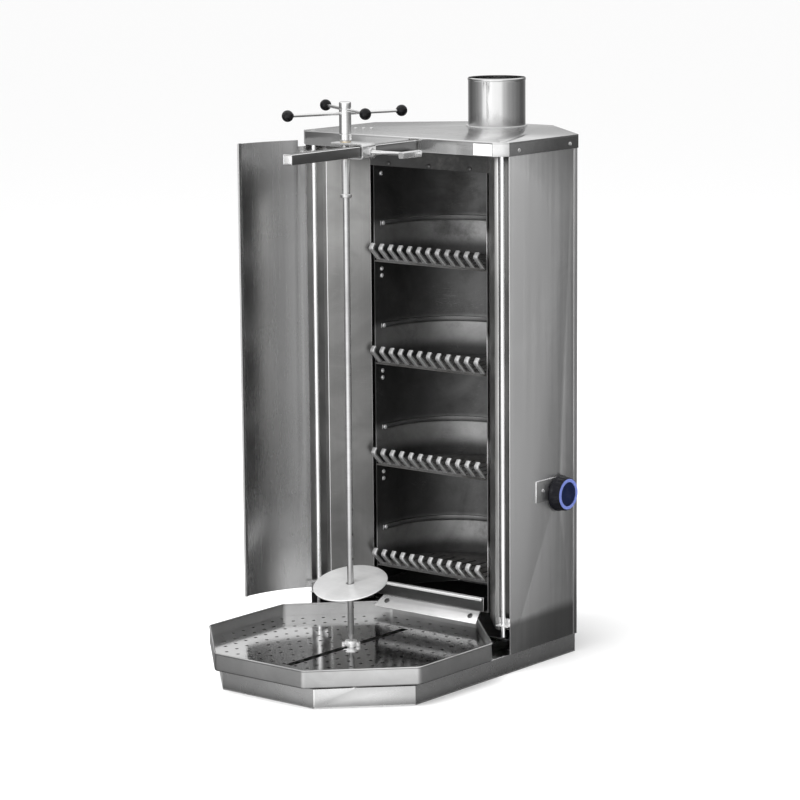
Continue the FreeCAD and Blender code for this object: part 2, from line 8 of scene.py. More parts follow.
import bpy
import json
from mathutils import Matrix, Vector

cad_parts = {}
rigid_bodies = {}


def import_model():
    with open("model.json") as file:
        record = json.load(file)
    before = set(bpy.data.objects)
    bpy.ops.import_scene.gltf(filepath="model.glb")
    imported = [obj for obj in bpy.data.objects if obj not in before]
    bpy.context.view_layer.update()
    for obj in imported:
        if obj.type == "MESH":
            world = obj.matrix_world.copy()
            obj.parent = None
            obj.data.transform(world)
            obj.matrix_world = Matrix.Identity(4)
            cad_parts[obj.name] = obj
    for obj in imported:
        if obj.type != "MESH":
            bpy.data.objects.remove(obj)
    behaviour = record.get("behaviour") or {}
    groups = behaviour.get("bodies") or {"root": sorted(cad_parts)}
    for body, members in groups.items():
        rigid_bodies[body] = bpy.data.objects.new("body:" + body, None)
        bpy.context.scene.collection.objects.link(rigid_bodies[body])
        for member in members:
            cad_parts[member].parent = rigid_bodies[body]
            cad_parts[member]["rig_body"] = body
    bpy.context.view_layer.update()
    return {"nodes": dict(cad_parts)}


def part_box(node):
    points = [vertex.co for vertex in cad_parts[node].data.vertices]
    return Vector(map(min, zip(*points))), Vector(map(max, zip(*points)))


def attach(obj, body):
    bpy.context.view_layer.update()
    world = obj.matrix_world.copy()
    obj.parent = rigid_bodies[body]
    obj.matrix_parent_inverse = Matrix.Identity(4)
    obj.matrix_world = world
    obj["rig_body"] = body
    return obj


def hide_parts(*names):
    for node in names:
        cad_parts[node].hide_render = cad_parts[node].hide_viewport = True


for leftover in list(bpy.data.objects):
    bpy.data.objects.remove(leftover)

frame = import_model()

import enum
import json
import logging
import math
from collections.abc import Sequence
from dataclasses import dataclass, field

import bmesh
import numpy as np
from mathutils import Matrix, Vector

LOG = logging.getLogger("rotisserie_oven")

Socket = bpy.types.NodeSocket
Value = float | tuple | Socket
Point = tuple[float, float, float]

SMOOTH_ANGLE = math.radians(35.0)


# ---------------------------------------------------------------- node wiring
@dataclass
class Wires:
    """Short calls that add nodes to one tree and join them.

    Args:
        tree: the node tree being filled.
    """

    tree: bpy.types.NodeTree

    def add(self, kind: str, **settings: object) -> bpy.types.Node:
        """Add one node.

        Args:
            kind: the node's type name in Blender.
            **settings: properties to set on it.

        Returns:
            The new node.
        """
        node = self.tree.nodes.new(kind)
        for key, value in settings.items():
            setattr(node, key, value)
        return node

    def feed(self, socket: Socket, value: Value) -> None:
        """Link a socket to an input, or set the input's own value."""
        if isinstance(value, bpy.types.NodeSocket):
            self.tree.links.new(value, socket)
        else:
            socket.default_value = value

    def math(self, operation: str, a: Value, b: Value = 0.0, clamp: bool = False) -> Socket:
        """One arithmetic step.

        Args:
            operation: name of the operation.
            a: first number.
            b: second number.
            clamp: keep the result between 0 and 1.

        Returns:
            The resulting number.
        """
        node = self.add("ShaderNodeMath", operation=operation, use_clamp=clamp)
        self.feed(node.inputs[0], a)
        self.feed(node.inputs[1], b)
        return node.outputs[0]

    def vector(self, operation: str, a: Value, b: Value, slot: int = 1) -> Socket:
        """One vector step, with the second operand in the given slot."""
        node = self.add("ShaderNodeVectorMath", operation=operation)
        self.feed(node.inputs[0], a)
        self.feed(node.inputs[slot], b)
        return node.outputs[0]

    def times(self, vector: Value, factors: Value) -> Socket:
        """A vector multiplied part by part."""
        return self.vector("MULTIPLY", vector, factors)

    def plus(self, vector: Value, other: Value) -> Socket:
        """Two vectors added."""
        return self.vector("ADD", vector, other)

    def noise(self, vector: Value, scale: float, detail: float = 3.0,
              roughness: float = 0.55) -> Socket:
        """Cloudy noise between 0 and 1.

        Args:
            vector: where it is read.
            scale: blobs per metre.
            detail: octaves.
            roughness: strength of the finer octaves.

        Returns:
            The noise value.
        """
        node = self.add("ShaderNodeTexNoise")
        self.feed(node.inputs["Vector"], vector)
        node.inputs["Scale"].default_value = scale
        node.inputs["Detail"].default_value = detail
        node.inputs["Roughness"].default_value = roughness
        return node.outputs[0]

    def span(self, value: Value, low: float, high: float, out_low: Value = 0.0,
             out_high: Value = 1.0) -> Socket:
        """A value carried smoothly from one range to another.

        Args:
            value: the number read.
            low: where the range starts.
            high: where it ends.
            out_low: result at the start.
            out_high: result at the end.

        Returns:
            The mapped number.
        """
        node = self.add("ShaderNodeMapRange", interpolation_type="SMOOTHSTEP")
        for socket, number in zip(node.inputs, (value, low, high, out_low, out_high)):
            self.feed(socket, number)
        return node.outputs[0]

    def blend(self, factor: Value, a: Value, b: Value) -> Socket:
        """Two colours mixed.

        Args:
            factor: share of the second colour.
            a: first colour.
            b: second colour.

        Returns:
            The mixed colour.
        """
        node = self.add("ShaderNodeMix", data_type="RGBA", clamp_factor=True)
        self.feed(node.inputs[0], factor)
        self.feed(node.inputs[6], a)
        self.feed(node.inputs[7], b)
        return node.outputs[2]

    def shade(self, colour: Value, amount: Value) -> Socket:
        """A colour multiplied by a number."""
        return self.vector("SCALE", colour, amount, 3)

    def ramp(self, value: Value, stops: Sequence[tuple[float, float]]) -> Socket:
        """Grey tones along a value.

        Args:
            value: the number read, from 0 to 1.
            stops: (place, grey) pairs in rising order.

        Returns:
            The grey as a colour.
        """
        node = self.add("ShaderNodeValToRGB")
        ramp = node.color_ramp
        ramp.interpolation = "EASE"
        for place, grey in stops[1:-1]:
            ramp.elements.new(place)
        for element, (place, grey) in zip(ramp.elements, stops):
            element.position = place
            element.color = (grey, grey, grey, 1.0)
        self.feed(node.inputs[0], value)
        return node.outputs[0]

    def split(self, vector: Value) -> bpy.types.NodeOutputs:
        """The X, Y and Z parts of a vector."""
        node = self.add("ShaderNodeSeparateXYZ")
        self.feed(node.inputs[0], vector)
        return node.outputs


@dataclass
class EffectBook:
    """The node groups that several finishes share, each built once."""

    groups: dict[str, bpy.types.NodeTree] = field(default_factory=dict)

    def start(self, name: str, outputs: Sequence[str],
              **inputs: str) -> tuple[Wires, dict[str, Socket], bpy.types.Node]:
        """Open a new group with named sockets.

        Args:
            name: the group's name.
            outputs: names of the number outputs.
            **inputs: kind of socket for each input, by name.

        Returns:
            The group's wires, its input sockets by name and its output node.
        """
        tree = bpy.data.node_groups.new(name, "ShaderNodeTree")
        for label, kind in inputs.items():
            tree.interface.new_socket(label, in_out="INPUT", socket_type="NodeSocket" + kind)
        for label in outputs:
            tree.interface.new_socket(label, in_out="OUTPUT", socket_type="NodeSocketFloat")
        wires = Wires(tree)
        source = wires.add("NodeGroupInput")
        sink = wires.add("NodeGroupOutput")
        self.groups[name] = tree
        return wires, {s.name: s for s in source.outputs if s.name}, sink

    def brushing(self) -> bpy.types.NodeTree:
        """Brushed grain: noise drawn out along the grain, wide and fine lines together."""
        name = "Brushed grain"
        if name not in self.groups:
            w, i, out = self.start(name, ("Tone", "Rough", "Height"), Vector="Vector",
                                   Stretch="Vector", Strength="Float")
            drawn = w.times(i["Vector"], i["Stretch"])
            wide = w.noise(drawn, 1.0, 2.0)
            fine = w.noise(drawn, 7.3, 3.0, 0.65)
            both = w.math("ADD", w.math("MULTIPLY", wide, 0.6), w.math("MULTIPLY", fine, 0.4))
            swing = w.math("MULTIPLY", w.math("SUBTRACT", both, 0.5), i["Strength"])
            w.feed(out.inputs["Tone"], w.math("ADD", 1.0, w.math("MULTIPLY", swing, 2.0)))
            w.feed(out.inputs["Rough"], swing)
            w.feed(out.inputs["Height"], fine)
        return self.groups[name]

    def smears(self) -> bpy.types.NodeTree:
        """Wiped smears: clouds bent by other clouds, cut to soft patches."""
        name = "Wiped smears"
        if name not in self.groups:
            w, i, out = self.start(name, ("Mask", "Cloud"), Vector="Vector", Amount="Float")
            bend = w.shade(w.noise(i["Vector"], 3.1, 2.0), 0.35)
            moved = w.plus(i["Vector"], bend)
            cloud = w.noise(moved, 6.0, 4.0, 0.6)
            spots = w.noise(i["Vector"], 38.0, 3.0, 0.6)
            mask = w.span(w.math("ADD", w.math("MULTIPLY", cloud, 0.75),
                                 w.math("MULTIPLY", spots, 0.25)), 0.46, 0.68)
            w.feed(out.inputs["Mask"], w.math("MULTIPLY", mask, i["Amount"]))
            w.feed(out.inputs["Cloud"], cloud)
        return self.groups[name]

    def scratches(self) -> bpy.types.NodeTree:
        """Fine scratches: the thin crossing lines of two long noises, in patches."""
        name = "Fine scratches"
        if name not in self.groups:
            w, i, out = self.start(name, ("Mask",), Vector="Vector", Amount="Float")
            lines = []
            for turn, stretch in ((0.5, (9.0, 9.0, 210.0)), (-0.8, (190.0, 190.0, 7.0))):
                mapping = w.add("ShaderNodeMapping")
                w.feed(mapping.inputs["Vector"], i["Vector"])
                mapping.inputs["Rotation"].default_value = (turn, turn * 0.7, turn)
                long_noise = w.noise(w.times(mapping.outputs[0], stretch), 1.0, 1.0)
                apart = w.math("ABSOLUTE", w.math("SUBTRACT", long_noise, 0.5))
                lines.append(w.span(apart, 0.0, 0.018, 1.0, 0.0))
            patch = w.span(w.noise(i["Vector"], 11.0, 2.0), 0.48, 0.66)
            mask = w.math("MULTIPLY", w.math("MAXIMUM", lines[0], lines[1]), patch)
            w.feed(out.inputs["Mask"], w.math("MULTIPLY", mask, i["Amount"]))
        return self.groups[name]

    def soot(self) -> bpy.types.NodeTree:
        """Soot: blotchy clouds that thicken with the amount asked for."""
        name = "Soot"
        if name not in self.groups:
            w, i, out = self.start(name, ("Mask", "Grit"), Vector="Vector", Amount="Float")
            big = w.noise(i["Vector"], 7.0, 5.0, 0.62)
            grit = w.noise(i["Vector"], 120.0, 4.0, 0.7)
            level = w.math("ADD", w.math("MULTIPLY", big, 0.8), w.math("MULTIPLY", grit, 0.2))
            reach = w.math("ADD", level, w.math("SUBTRACT", i["Amount"], 0.5))
            w.feed(out.inputs["Mask"], w.span(reach, 0.36, 0.72))
            w.feed(out.inputs["Grit"], grit)
        return self.groups[name]

    def place(self, wires: Wires, tree: bpy.types.NodeTree,
              **values: Value) -> bpy.types.NodeOutputs:
        """Set one shared effect into a material.

        Args:
            wires: the material's wires.
            tree: the shared group.
            **values: its inputs by name.

        Returns:
            The group node's outputs.
        """
        node = wires.add("ShaderNodeGroup", node_tree=tree)
        for key, value in values.items():
            wires.feed(node.inputs[key], value)
        return node.outputs


BOOK = EffectBook()


# ------------------------------------------------------------------- finishes
class Grain(enum.Enum):
    """Way the brushing runs: factors that stretch noise along it."""

    UPRIGHT = (95.0, 95.0, 2.2)
    ACROSS = (2.4, 95.0, 95.0)
    DEPTH = (95.0, 2.4, 95.0)
    CLOUDY = (24.0, 24.0, 24.0)
    TURNED = (14.0, 14.0, 420.0)


class Axis(enum.IntEnum):
    """A coordinate by its place."""

    X = 0
    Y = 1
    Z = 2


@dataclass(frozen=True)
class PaintedLightFade:
    """A steady change of tone along one axis, painted in to stand for the reflections and shade
    that fall over the piece.

    Args:
        axis: the axis it runs along.
        start: coordinate where it begins.
        end: coordinate where it stops.
        first: tone factor at the start.
        last: tone factor at the end.
        below: height under which it counts.
    """

    axis: Axis
    start: float
    end: float
    first: float
    last: float
    below: float = math.inf


@dataclass(frozen=True)
class StoreyLightAndShade:
    """Painted light low in every fire compartment, and painted shade above the half ring and just
    above each shelf.

    Args:
        floor: height of the lowest shelf.
        pitch: distance between shelves.
        low: tone factor under the half ring.
        high: tone factor over it.
        shelf_shade: tone factor just above the shelf, a painted shade.
    """

    floor: float
    pitch: float
    low: float
    high: float
    shelf_shade: float = 0.25


def fresh(name: str) -> tuple[bpy.types.Material, Wires, bpy.types.Node]:
    """A new material with its wires and its shader."""
    material = bpy.data.materials.new(name)
    material.use_nodes = True
    return material, Wires(material.node_tree), material.node_tree.nodes["Principled BSDF"]


def roughen(wires: Wires, shader: bpy.types.Node, height: Value, strength: float,
            depth: float) -> None:
    """Bump a shader's normal by a height.

    Args:
        wires: the material's wires.
        shader: the shader.
        height: relief between 0 and 1.
        strength: share of the relief used.
        depth: depth of the relief in metres.
    """
    bump = wires.add("ShaderNodeBump")
    bump.inputs["Strength"].default_value = strength
    bump.inputs["Distance"].default_value = depth
    wires.feed(bump.inputs["Height"], height)
    wires.feed(shader.inputs["Normal"], bump.outputs[0])


@dataclass(frozen=True)
class SteelFinish:
    """Brushed, sooted or polished steel.

    Args:
        name: the material's name.
        tone: grey of the bare metal.
        roughness: mean roughness.
        grain: way of the brushing.
        streak: strength of the brushed lines.
        smear: strength of wiped patches.
        scratch: strength of fine scratches.
        soot: 0 for clean, 1 for covered.
        stretch: sideways spread of highlights.
        tint: colour cast of the metal.
        painted_light_fades: painted changes of tone over the piece, standing for its reflections
            and shade.
        bump: depth of the grain in metres.
        metal: share of mirror-like metal; the rest is the pale haze of dense brushing.
        storey_light_and_shade: painted light and shade within each fire compartment.
    """

    name: str
    tone: float
    roughness: float
    grain: Grain = Grain.UPRIGHT
    streak: float = 0.18
    smear: float = 0.35
    scratch: float = 0.25
    soot: float = 0.0
    stretch: float = 0.0
    tint: tuple[float, float, float] = (1.0, 1.0, 1.0)
    painted_light_fades: tuple[PaintedLightFade, ...] = ()
    bump: float = 0.00004
    metal: float = 1.0
    storey_light_and_shade: StoreyLightAndShade | None = None

    def build(self) -> bpy.types.Material:
        """Make the material, or return it if it is already there."""
        known = bpy.data.materials.get(self.name)
        if known:
            return known
        material, w, shader = fresh(self.name)
        place = w.add("ShaderNodeTexCoord").outputs["Object"]
        brush = BOOK.place(w, BOOK.brushing(), Vector=place, Stretch=self.grain.value,
                           Strength=self.streak)
        smears = BOOK.place(w, BOOK.smears(), Vector=place, Amount=self.smear)
        lines = BOOK.place(w, BOOK.scratches(), Vector=place, Amount=self.scratch)
        tone = w.math("MULTIPLY", brush["Tone"], self.tone)
        swing = 0.35 * self.smear
        tone = w.math("MULTIPLY", tone,
                      w.span(smears["Cloud"], 0.25, 0.75, 1.0 + swing, 1.0 - swing))
        parts = w.split(place)
        # Painted reflections and shade: the tone is scaled along each fade's axis.
        for painted_fade in self.painted_light_fades:
            factor = w.span(parts[painted_fade.axis], painted_fade.start, painted_fade.end, painted_fade.first, painted_fade.last)
            if painted_fade.below < math.inf:
                under = w.math("LESS_THAN", parts[Axis.Z], painted_fade.below)
                factor = w.math("ADD", 1.0, w.math("MULTIPLY", under,
                                                   w.math("SUBTRACT", factor, 1.0)))
            tone = w.math("MULTIPLY", tone, factor)
        # Painted light low in each fire compartment, painted shade above the half ring and just
        # above each shelf.
        if self.storey_light_and_shade:
            rise = w.math("DIVIDE", w.math("SUBTRACT", parts[Axis.Z], self.storey_light_and_shade.floor),
                          self.storey_light_and_shade.pitch)
            share = w.math("FRACT", rise)
            tone = w.math("MULTIPLY", tone,
                          w.span(share, 0.3, 0.42, self.storey_light_and_shade.low, self.storey_light_and_shade.high))
            tone = w.math("MULTIPLY", tone, w.span(share, 0.06, 0.2, self.storey_light_and_shade.shelf_shade, 1.0))
        tone = w.math("ADD", tone, w.math("MULTIPLY", lines["Mask"], 0.12), clamp=True)
        metal = w.shade((*self.tint,), tone)
        rough = w.math("ADD", brush["Rough"], self.roughness)
        rough = w.math("ADD", rough, w.math("MULTIPLY", smears["Mask"], 0.22))
        height = brush["Height"]
        if self.soot > 0.0:
            soot = BOOK.place(w, BOOK.soot(), Vector=place, Amount=self.soot)
            burnt = w.shade((0.05, 0.048, 0.046), w.span(soot["Grit"], 0.3, 0.7, 0.5, 1.5))
            metal = w.blend(soot["Mask"], metal, burnt)
            rough = w.math("ADD", rough, w.math("MULTIPLY", soot["Mask"], 0.35))
            w.feed(shader.inputs["Metallic"], w.span(soot["Mask"], 0.0, 1.0, self.metal, 0.25))
            height = w.math("ADD", height, w.math("MULTIPLY", soot["Grit"], soot["Mask"]))
        else:
            shader.inputs["Metallic"].default_value = self.metal
        w.feed(shader.inputs["Base Color"], metal)
        w.feed(shader.inputs["Roughness"], w.math("MAXIMUM", rough, 0.06, clamp=True))
        roughen(w, shader, height, 0.55, self.bump)
        shader.inputs["Anisotropic"].default_value = self.stretch
        return material


@dataclass(frozen=True)
class MouldedFinish:
    """Moulded plastic with a faint orange-peel skin and handling marks.

    Args:
        name: the material's name.
        colour: the plastic's colour.
        roughness: mean roughness.
        coat: strength of the glossy skin.
        shine: mirror strength of the surface.
    """

    name: str
    colour: tuple[float, float, float]
    roughness: float
    coat: float = 0.0
    shine: float = 0.5

    def build(self) -> bpy.types.Material:
        """Make the material, or return it if it is already there."""
        known = bpy.data.materials.get(self.name)
        if known:
            return known
        material, w, shader = fresh(self.name)
        place = w.add("ShaderNodeTexCoord").outputs["Object"]
        smears = BOOK.place(w, BOOK.smears(), Vector=w.times(place, (6.0, 6.0, 6.0)), Amount=1.0)
        lines = BOOK.place(w, BOOK.scratches(), Vector=w.times(place, (4.0, 4.0, 4.0)),
                           Amount=0.5)
        pale = w.shade((*self.colour,), w.span(smears["Cloud"], 0.3, 0.7, 0.9, 1.15))
        w.feed(shader.inputs["Base Color"], w.blend(w.math("MULTIPLY", lines["Mask"], 0.25),
                                                    pale, (0.35, 0.35, 0.36, 1.0)))
        rough = w.math("ADD", self.roughness, w.math("MULTIPLY", smears["Mask"], 0.16))
        w.feed(shader.inputs["Roughness"], rough)
        roughen(w, shader, w.noise(place, 900.0, 2.0), 0.3, 0.00006)
        shader.inputs["Specular IOR Level"].default_value = self.shine
        shader.inputs["Coat Weight"].default_value = self.coat
        shader.inputs["Coat Roughness"].default_value = 0.08
        return material


X, Y, Z = Axis
FLANGE = 1.158  # height that parts the lid's top from its flange

# The panel's fades paint its reflections and shade: dark at the foot, darker at the top, lighter at
# the front.
PANEL = SteelFinish("brushed_side_panel", 1.12, 0.34, Grain.UPRIGHT, 0.2, 0.2, 0.2, stretch=0.7,
                    painted_light_fades=(PaintedLightFade(Z, 0.102, 0.132, 0.32, 1.0), PaintedLightFade(Z, 1.0, 1.16, 1.0, 0.62),
                           PaintedLightFade(Y, 0.03, 0.26, 1.2, 0.72)))
# The casing's fade paints shade towards the floor.
CASING = SteelFinish("brushed_rear_casing", 0.8, 0.34, Grain.UPRIGHT, 0.22, 0.3, 0.25,
                     stretch=0.5, painted_light_fades=(PaintedLightFade(Z, 0.05, 0.25, 0.55, 1.0),))
# The lid's fades paint its reflections: dark at the left, lighter in the middle, darker to the
# right; on the flange a bright middle and a dark right and back.
LID = SteelFinish("brushed_lid", 0.62, 0.2, Grain.ACROSS, 0.12, 0.3, 0.4,
                  painted_light_fades=(PaintedLightFade(X, -0.28, -0.03, 0.5, 1.35), PaintedLightFade(X, 0.04, 0.2, 1.0, 0.74),
                         PaintedLightFade(X, -0.12, 0.02, 1.0, 2.8, FLANGE),
                         PaintedLightFade(X, 0.1, 0.19, 1.0, 0.42, FLANGE),
                         PaintedLightFade(Y, 0.08, 0.22, 1.0, 0.6, FLANGE)))
# The cheek's fades paint its reflections: dark to the left, lighter near the top, and a painted
# shade at its right edge past x 0.246.
CHEEK = SteelFinish("heat_tinted_cheek_painted_reflection", 0.6, 0.3, Grain.UPRIGHT, 0.14, 0.5, 0.2,
                    tint=(1.0, 0.995, 0.98), painted_light_fades=(PaintedLightFade(X, -0.1, 0.1, 0.42, 1.0),
                                                    PaintedLightFade(Z, 0.8, 1.05, 0.85, 1.5),
                                                    PaintedLightFade(X, 0.246, 0.25, 1.0, 0.22)))
# The baffle's near-black tone is soot and painted shade together.
BAFFLE = SteelFinish("burnt_baffle_painted_shade", 0.1, 0.45, Grain.ACROSS, 0.2, 0.4, 0.2, soot=0.45)
BASE = SteelFinish("brushed_base", 0.62, 0.26, Grain.CLOUDY, 0.1, 0.3, 0.4)
# The tray's fade paints it lighter towards the right.
TRAY = SteelFinish("formed_tray", 0.5, 0.36, Grain.CLOUDY, 0.1, 0.4, 0.5,
                   painted_light_fades=(PaintedLightFade(X, 0.1, 0.28, 1.0, 1.25),))
# The drip plate's fades paint it lighter on the left and darker on the right.
PLATE = SteelFinish("rolled_drip_plate", 0.72, 0.11, Grain.CLOUDY, 0.06, 0.12, 0.4,
                    painted_light_fades=(PaintedLightFade(X, -0.2, -0.02, 1.5, 1.0), PaintedLightFade(X, 0.02, 0.12, 1.0, 0.75)),
                    bump=0.00001)
WING = SteelFinish("smudged_wing", 0.44, 0.26, Grain.UPRIGHT, 0.12, 0.12, 0.15)
# The tube's fade paints shade at its foot on the lid.
TUBE = SteelFinish("bright_outlet_tube", 0.66, 0.12, Grain.UPRIGHT, 0.06, 0.05, 0.15,
                   painted_light_fades=(PaintedLightFade(Z, 1.16, 1.19, 0.7, 1.0),), bump=0.000008)
ROD = SteelFinish("bright_drawn_rod", 0.92, 0.22, Grain.TURNED, 0.08, 0.2, 0.1)
# The shaft's fade paints it darker towards the bottom.
SHAFT = SteelFinish("ground_shaft", 0.62, 0.3, Grain.TURNED, 0.2, 0.5, 0.3,
                    painted_light_fades=(PaintedLightFade(Z, 0.06, 0.4, 0.5, 1.0),))
# The liner's fade paints it dark on the left and lit on the right; its light and shade in each
# compartment are painted too.
LINER = SteelFinish("sooted_liner", 0.36, 0.5, Grain.CLOUDY, 0.3, 0.6, 0.4, soot=0.38,
                    painted_light_fades=(PaintedLightFade(X, -0.12, 0.1, 0.4, 1.25),), bump=0.0002,
                    storey_light_and_shade=StoreyLightAndShade(0.170, 0.233, 2.4, 0.6))
SHELF = SteelFinish("sooted_shelf", 0.2, 0.5, Grain.CLOUDY, 0.3, 0.5, 0.3, soot=0.62,
                    bump=0.0002)
STRIP = SteelFinish("dull_half_ring", 0.16, 0.4, Grain.TURNED, 0.2, 0.4, 0.3, soot=0.3)
# The ring's lighter edges are partly rubbed wear, partly a painted highlight.
STRIP_EDGE = SteelFinish("rubbed_ring_edge_painted_highlight", 0.4, 0.35, Grain.TURNED, 0.2, 0.3, 0.2)
FENCE = SteelFinish("worn_fence_bar", 0.6, 0.36, Grain.CLOUDY, 0.2, 0.4, 0.5, soot=0.14,
                    metal=0.9)
BRIGHT = SteelFinish("bright_sheet", 0.9, 0.22, Grain.ACROSS, 0.08, 0.3, 0.4, metal=0.72)
# Bright eased edges: partly worn metal, partly a painted highlight along every bend.
EDGE_WEAR_HIGHLIGHT = SteelFinish("worn_edge_painted_highlight", 0.95, 0.24, Grain.CLOUDY, 0.08, 0.1, 0.1)
ASH = SteelFinish("ash_dusted_pan", 0.09, 0.42, Grain.ACROSS, 0.2, 0.5, 0.3, soot=0.25)
# The arm's fade paints it darker towards the back.
ARM = SteelFinish("satin_square_tube", 0.2, 0.34, Grain.DEPTH, 0.16, 0.3, 0.4,
                  painted_light_fades=(PaintedLightFade(Y, -0.16, -0.02, 1.0, 0.6),))
STRAP = SteelFinish("ground_strap", 0.66, 0.26, Grain.ACROSS, 0.04, 0.12, 0.1, metal=0.9,
                    bump=0.00001)
FIXING = SteelFinish("plain_fixing", 0.62, 0.32, Grain.TURNED, 0.15, 0.4, 0.2, metal=0.85)
DARK_FIXING = SteelFinish("oxidised_screw", 0.14, 0.42, Grain.CLOUDY, 0.2, 0.4, 0.2)
BOLT = SteelFinish("bright_bolt", 0.95, 0.3, Grain.CLOUDY, 0.1, 0.3, 0.2, metal=0.6)
DISC = SteelFinish("brushed_disc", 0.86, 0.3, Grain.ACROSS, 0.1, 0.35, 0.6, metal=0.72)
POLISHED = SteelFinish("polished_handle", 0.8, 0.16, Grain.TURNED, 0.08, 0.2, 0.2)
BRASS = SteelFinish("turned_bush", 0.62, 0.28, Grain.TURNED, 0.15, 0.4, 0.2,
                    tint=(1.0, 0.78, 0.42))
BACKPLATE = SteelFinish("plain_backplate", 0.62, 0.34, Grain.ACROSS, 0.14, 0.3, 0.3)
FOIL = SteelFinish("blank_foil", 0.97, 0.4, Grain.CLOUDY, 0.03, 0.1, 0.1, metal=0.1)
BALL = MouldedFinish("gloss_ball", (0.003, 0.003, 0.0035), 0.1, 0.0, 0.22)
GRIP = MouldedFinish("satin_grip", (0.004, 0.004, 0.007), 0.36, 0.0, 0.2)
TRIM = MouldedFinish("blue_trim", (0.15, 0.2, 0.55), 0.3, 0.3)
CENTRE = MouldedFinish("dark_blue_cap", (0.004, 0.009, 0.04), 0.3, 0.0, 0.2)


# -------------------------------------------------------------------- surfaces
@dataclass
class Shell:
    """One closed or open surface.

    Args:
        points: vertex places, one row each.
        faces: vertex numbers of each face.
        tag: material slot of its faces.
    """

    points: np.ndarray
    faces: list[tuple[int, ...]]
    tag: int = 0

    def outward(self) -> "Shell":
        """The same closed shell with its faces turned out, judged by its signed volume."""
        total = 0.0
        for sides in {len(f) for f in self.faces}:
            block = np.array([f for f in self.faces if len(f) == sides])
            corners = self.points[block]
            for k in range(1, sides - 1):
                a, b, c = corners[:, 0], corners[:, k], corners[:, k + 1]
                total += float(np.einsum("ij,ij->i", a, np.cross(b, c)).sum())
        if total < 0.0:
            self.faces = [tuple(reversed(f)) for f in self.faces]
        return self


def grid_faces(rows: int, cols: int, closed: bool = False) -> list[tuple[int, ...]]:
    """Quads between neighbours on a rows by cols grid whose columns close up.

    Args:
        rows: points along the first parameter.
        cols: points along the second parameter.
        closed: join the last row to the first.

    Returns:
        Vertex numbers of each quad.
    """
    r = np.arange(rows if closed else rows - 1)[:, None]
    c = np.arange(cols)[None, :]
    r2, c2 = (r + 1) % rows, (c + 1) % cols
    quads = np.stack([r * cols + c, r2 * cols + c, r2 * cols + c2, r * cols + c2], axis=-1)
    return [tuple(quad) for quad in quads.reshape(-1, 4).tolist()]


def fan(tip: int, ring: np.ndarray) -> list[tuple[int, ...]]:
    """Triangles from one point to each side of a closed ring of points."""
    return [tuple(f) for f in
            np.stack([np.full(len(ring), tip), ring, np.roll(ring, -1)], 1).tolist()]


def skin(grid: np.ndarray, closed: bool = False, tag: int = 0) -> Shell:
    """A surface over rows of points, with a flat face at each open end.

    Args:
        grid: points, rows by columns by three.
        closed: join the last row to the first.
        tag: material slot.

    Returns:
        The closed surface.
    """
    rows, cols = grid.shape[:2]
    faces = grid_faces(rows, cols, closed)
    if not closed:
        faces.append(tuple(range(cols)))
        faces.append(tuple(range((rows - 1) * cols, rows * cols))[::-1])
    return Shell(grid.reshape(-1, 3), faces, tag).outward()


def basis(axis: Point) -> tuple[np.ndarray, np.ndarray, np.ndarray]:
    """Two directions square to an axis, and the axis, all of length one."""
    way = np.array(axis, float) / np.linalg.norm(axis)
    helper = np.array((0.0, 0.0, 1.0)) if abs(way[2]) < 0.9 else np.array((1.0, 0.0, 0.0))
    first = np.cross(helper, way)
    first /= np.linalg.norm(first)
    return first, np.cross(way, first), way


def lathe(profile: Sequence[tuple[float, float]], centre: Point, axis: Point,
          steps: int = 48, flute: np.ndarray | None = None, tag: int = 0) -> Shell:
    """A profile turned round an axis.

    Point(r, h, t) = centre + r (cos t e1 + sin t e2) + h axis, where a flute
    may scale r over t and h. A profile that ends on the axis closes at a pole,
    and any other profile closes on itself as a ring.

    Args:
        profile: (radius, height) pairs.
        centre: where height is zero.
        axis: direction of the turning axis.
        steps: points round the axis.
        flute: factors on the radius, profile by steps.
        tag: material slot.

    Returns:
        The closed surface.
    """
    e1, e2, way = basis(axis)
    shape = np.array(profile, float)
    poles = shape[0, 0] < 1e-9 and shape[-1, 0] < 1e-9
    ring = shape[1:-1] if poles else shape
    t = np.linspace(0.0, 2 * math.pi, steps, endpoint=False)
    radius = ring[:, 0:1] * (flute if flute is not None else np.ones((1, steps)))
    grid = (np.array(centre) + radius[..., None] * (np.cos(t)[None, :, None] * e1
                                                    + np.sin(t)[None, :, None] * e2)
            + ring[:, 1, None, None] * way)
    points = grid.reshape(-1, 3)
    rows = len(ring)
    faces = grid_faces(rows, steps, not poles)
    if poles:
        start, end = len(points), len(points) + 1
        ends = np.array(centre) + shape[[0, -1], 1][:, None] * way
        points = np.vstack([points, ends])
        first = np.arange(steps)
        faces += fan(start, first) + fan(end, (first + (rows - 1) * steps)[::-1])
    return Shell(points, faces, tag).outward()


def rounded_box_outline(width: float, depth: float, radius: float, steps: int = 4) -> np.ndarray:
    """Outline of a rectangle with quarter-circle corners, anticlockwise.

    Args:
        width: size along the first direction.
        depth: size along the second.
        radius: corner radius.
        steps: points on each corner.

    Returns:
        Points in the plane, one row each.
    """
    turn = np.linspace(0.0, math.pi / 2, steps)
    corner = np.stack([np.cos(turn), np.sin(turn)], 1) * radius
    parts = []
    for quarter, (sx, sy) in enumerate(((1, 1), (-1, 1), (-1, -1), (1, -1))):
        angle = quarter * math.pi / 2
        spin = np.array([[math.cos(angle), math.sin(angle)], [-math.sin(angle), math.cos(angle)]])
        parts.append(corner @ spin + (sx * (width / 2 - radius), sy * (depth / 2 - radius)))
    return np.vstack(parts)


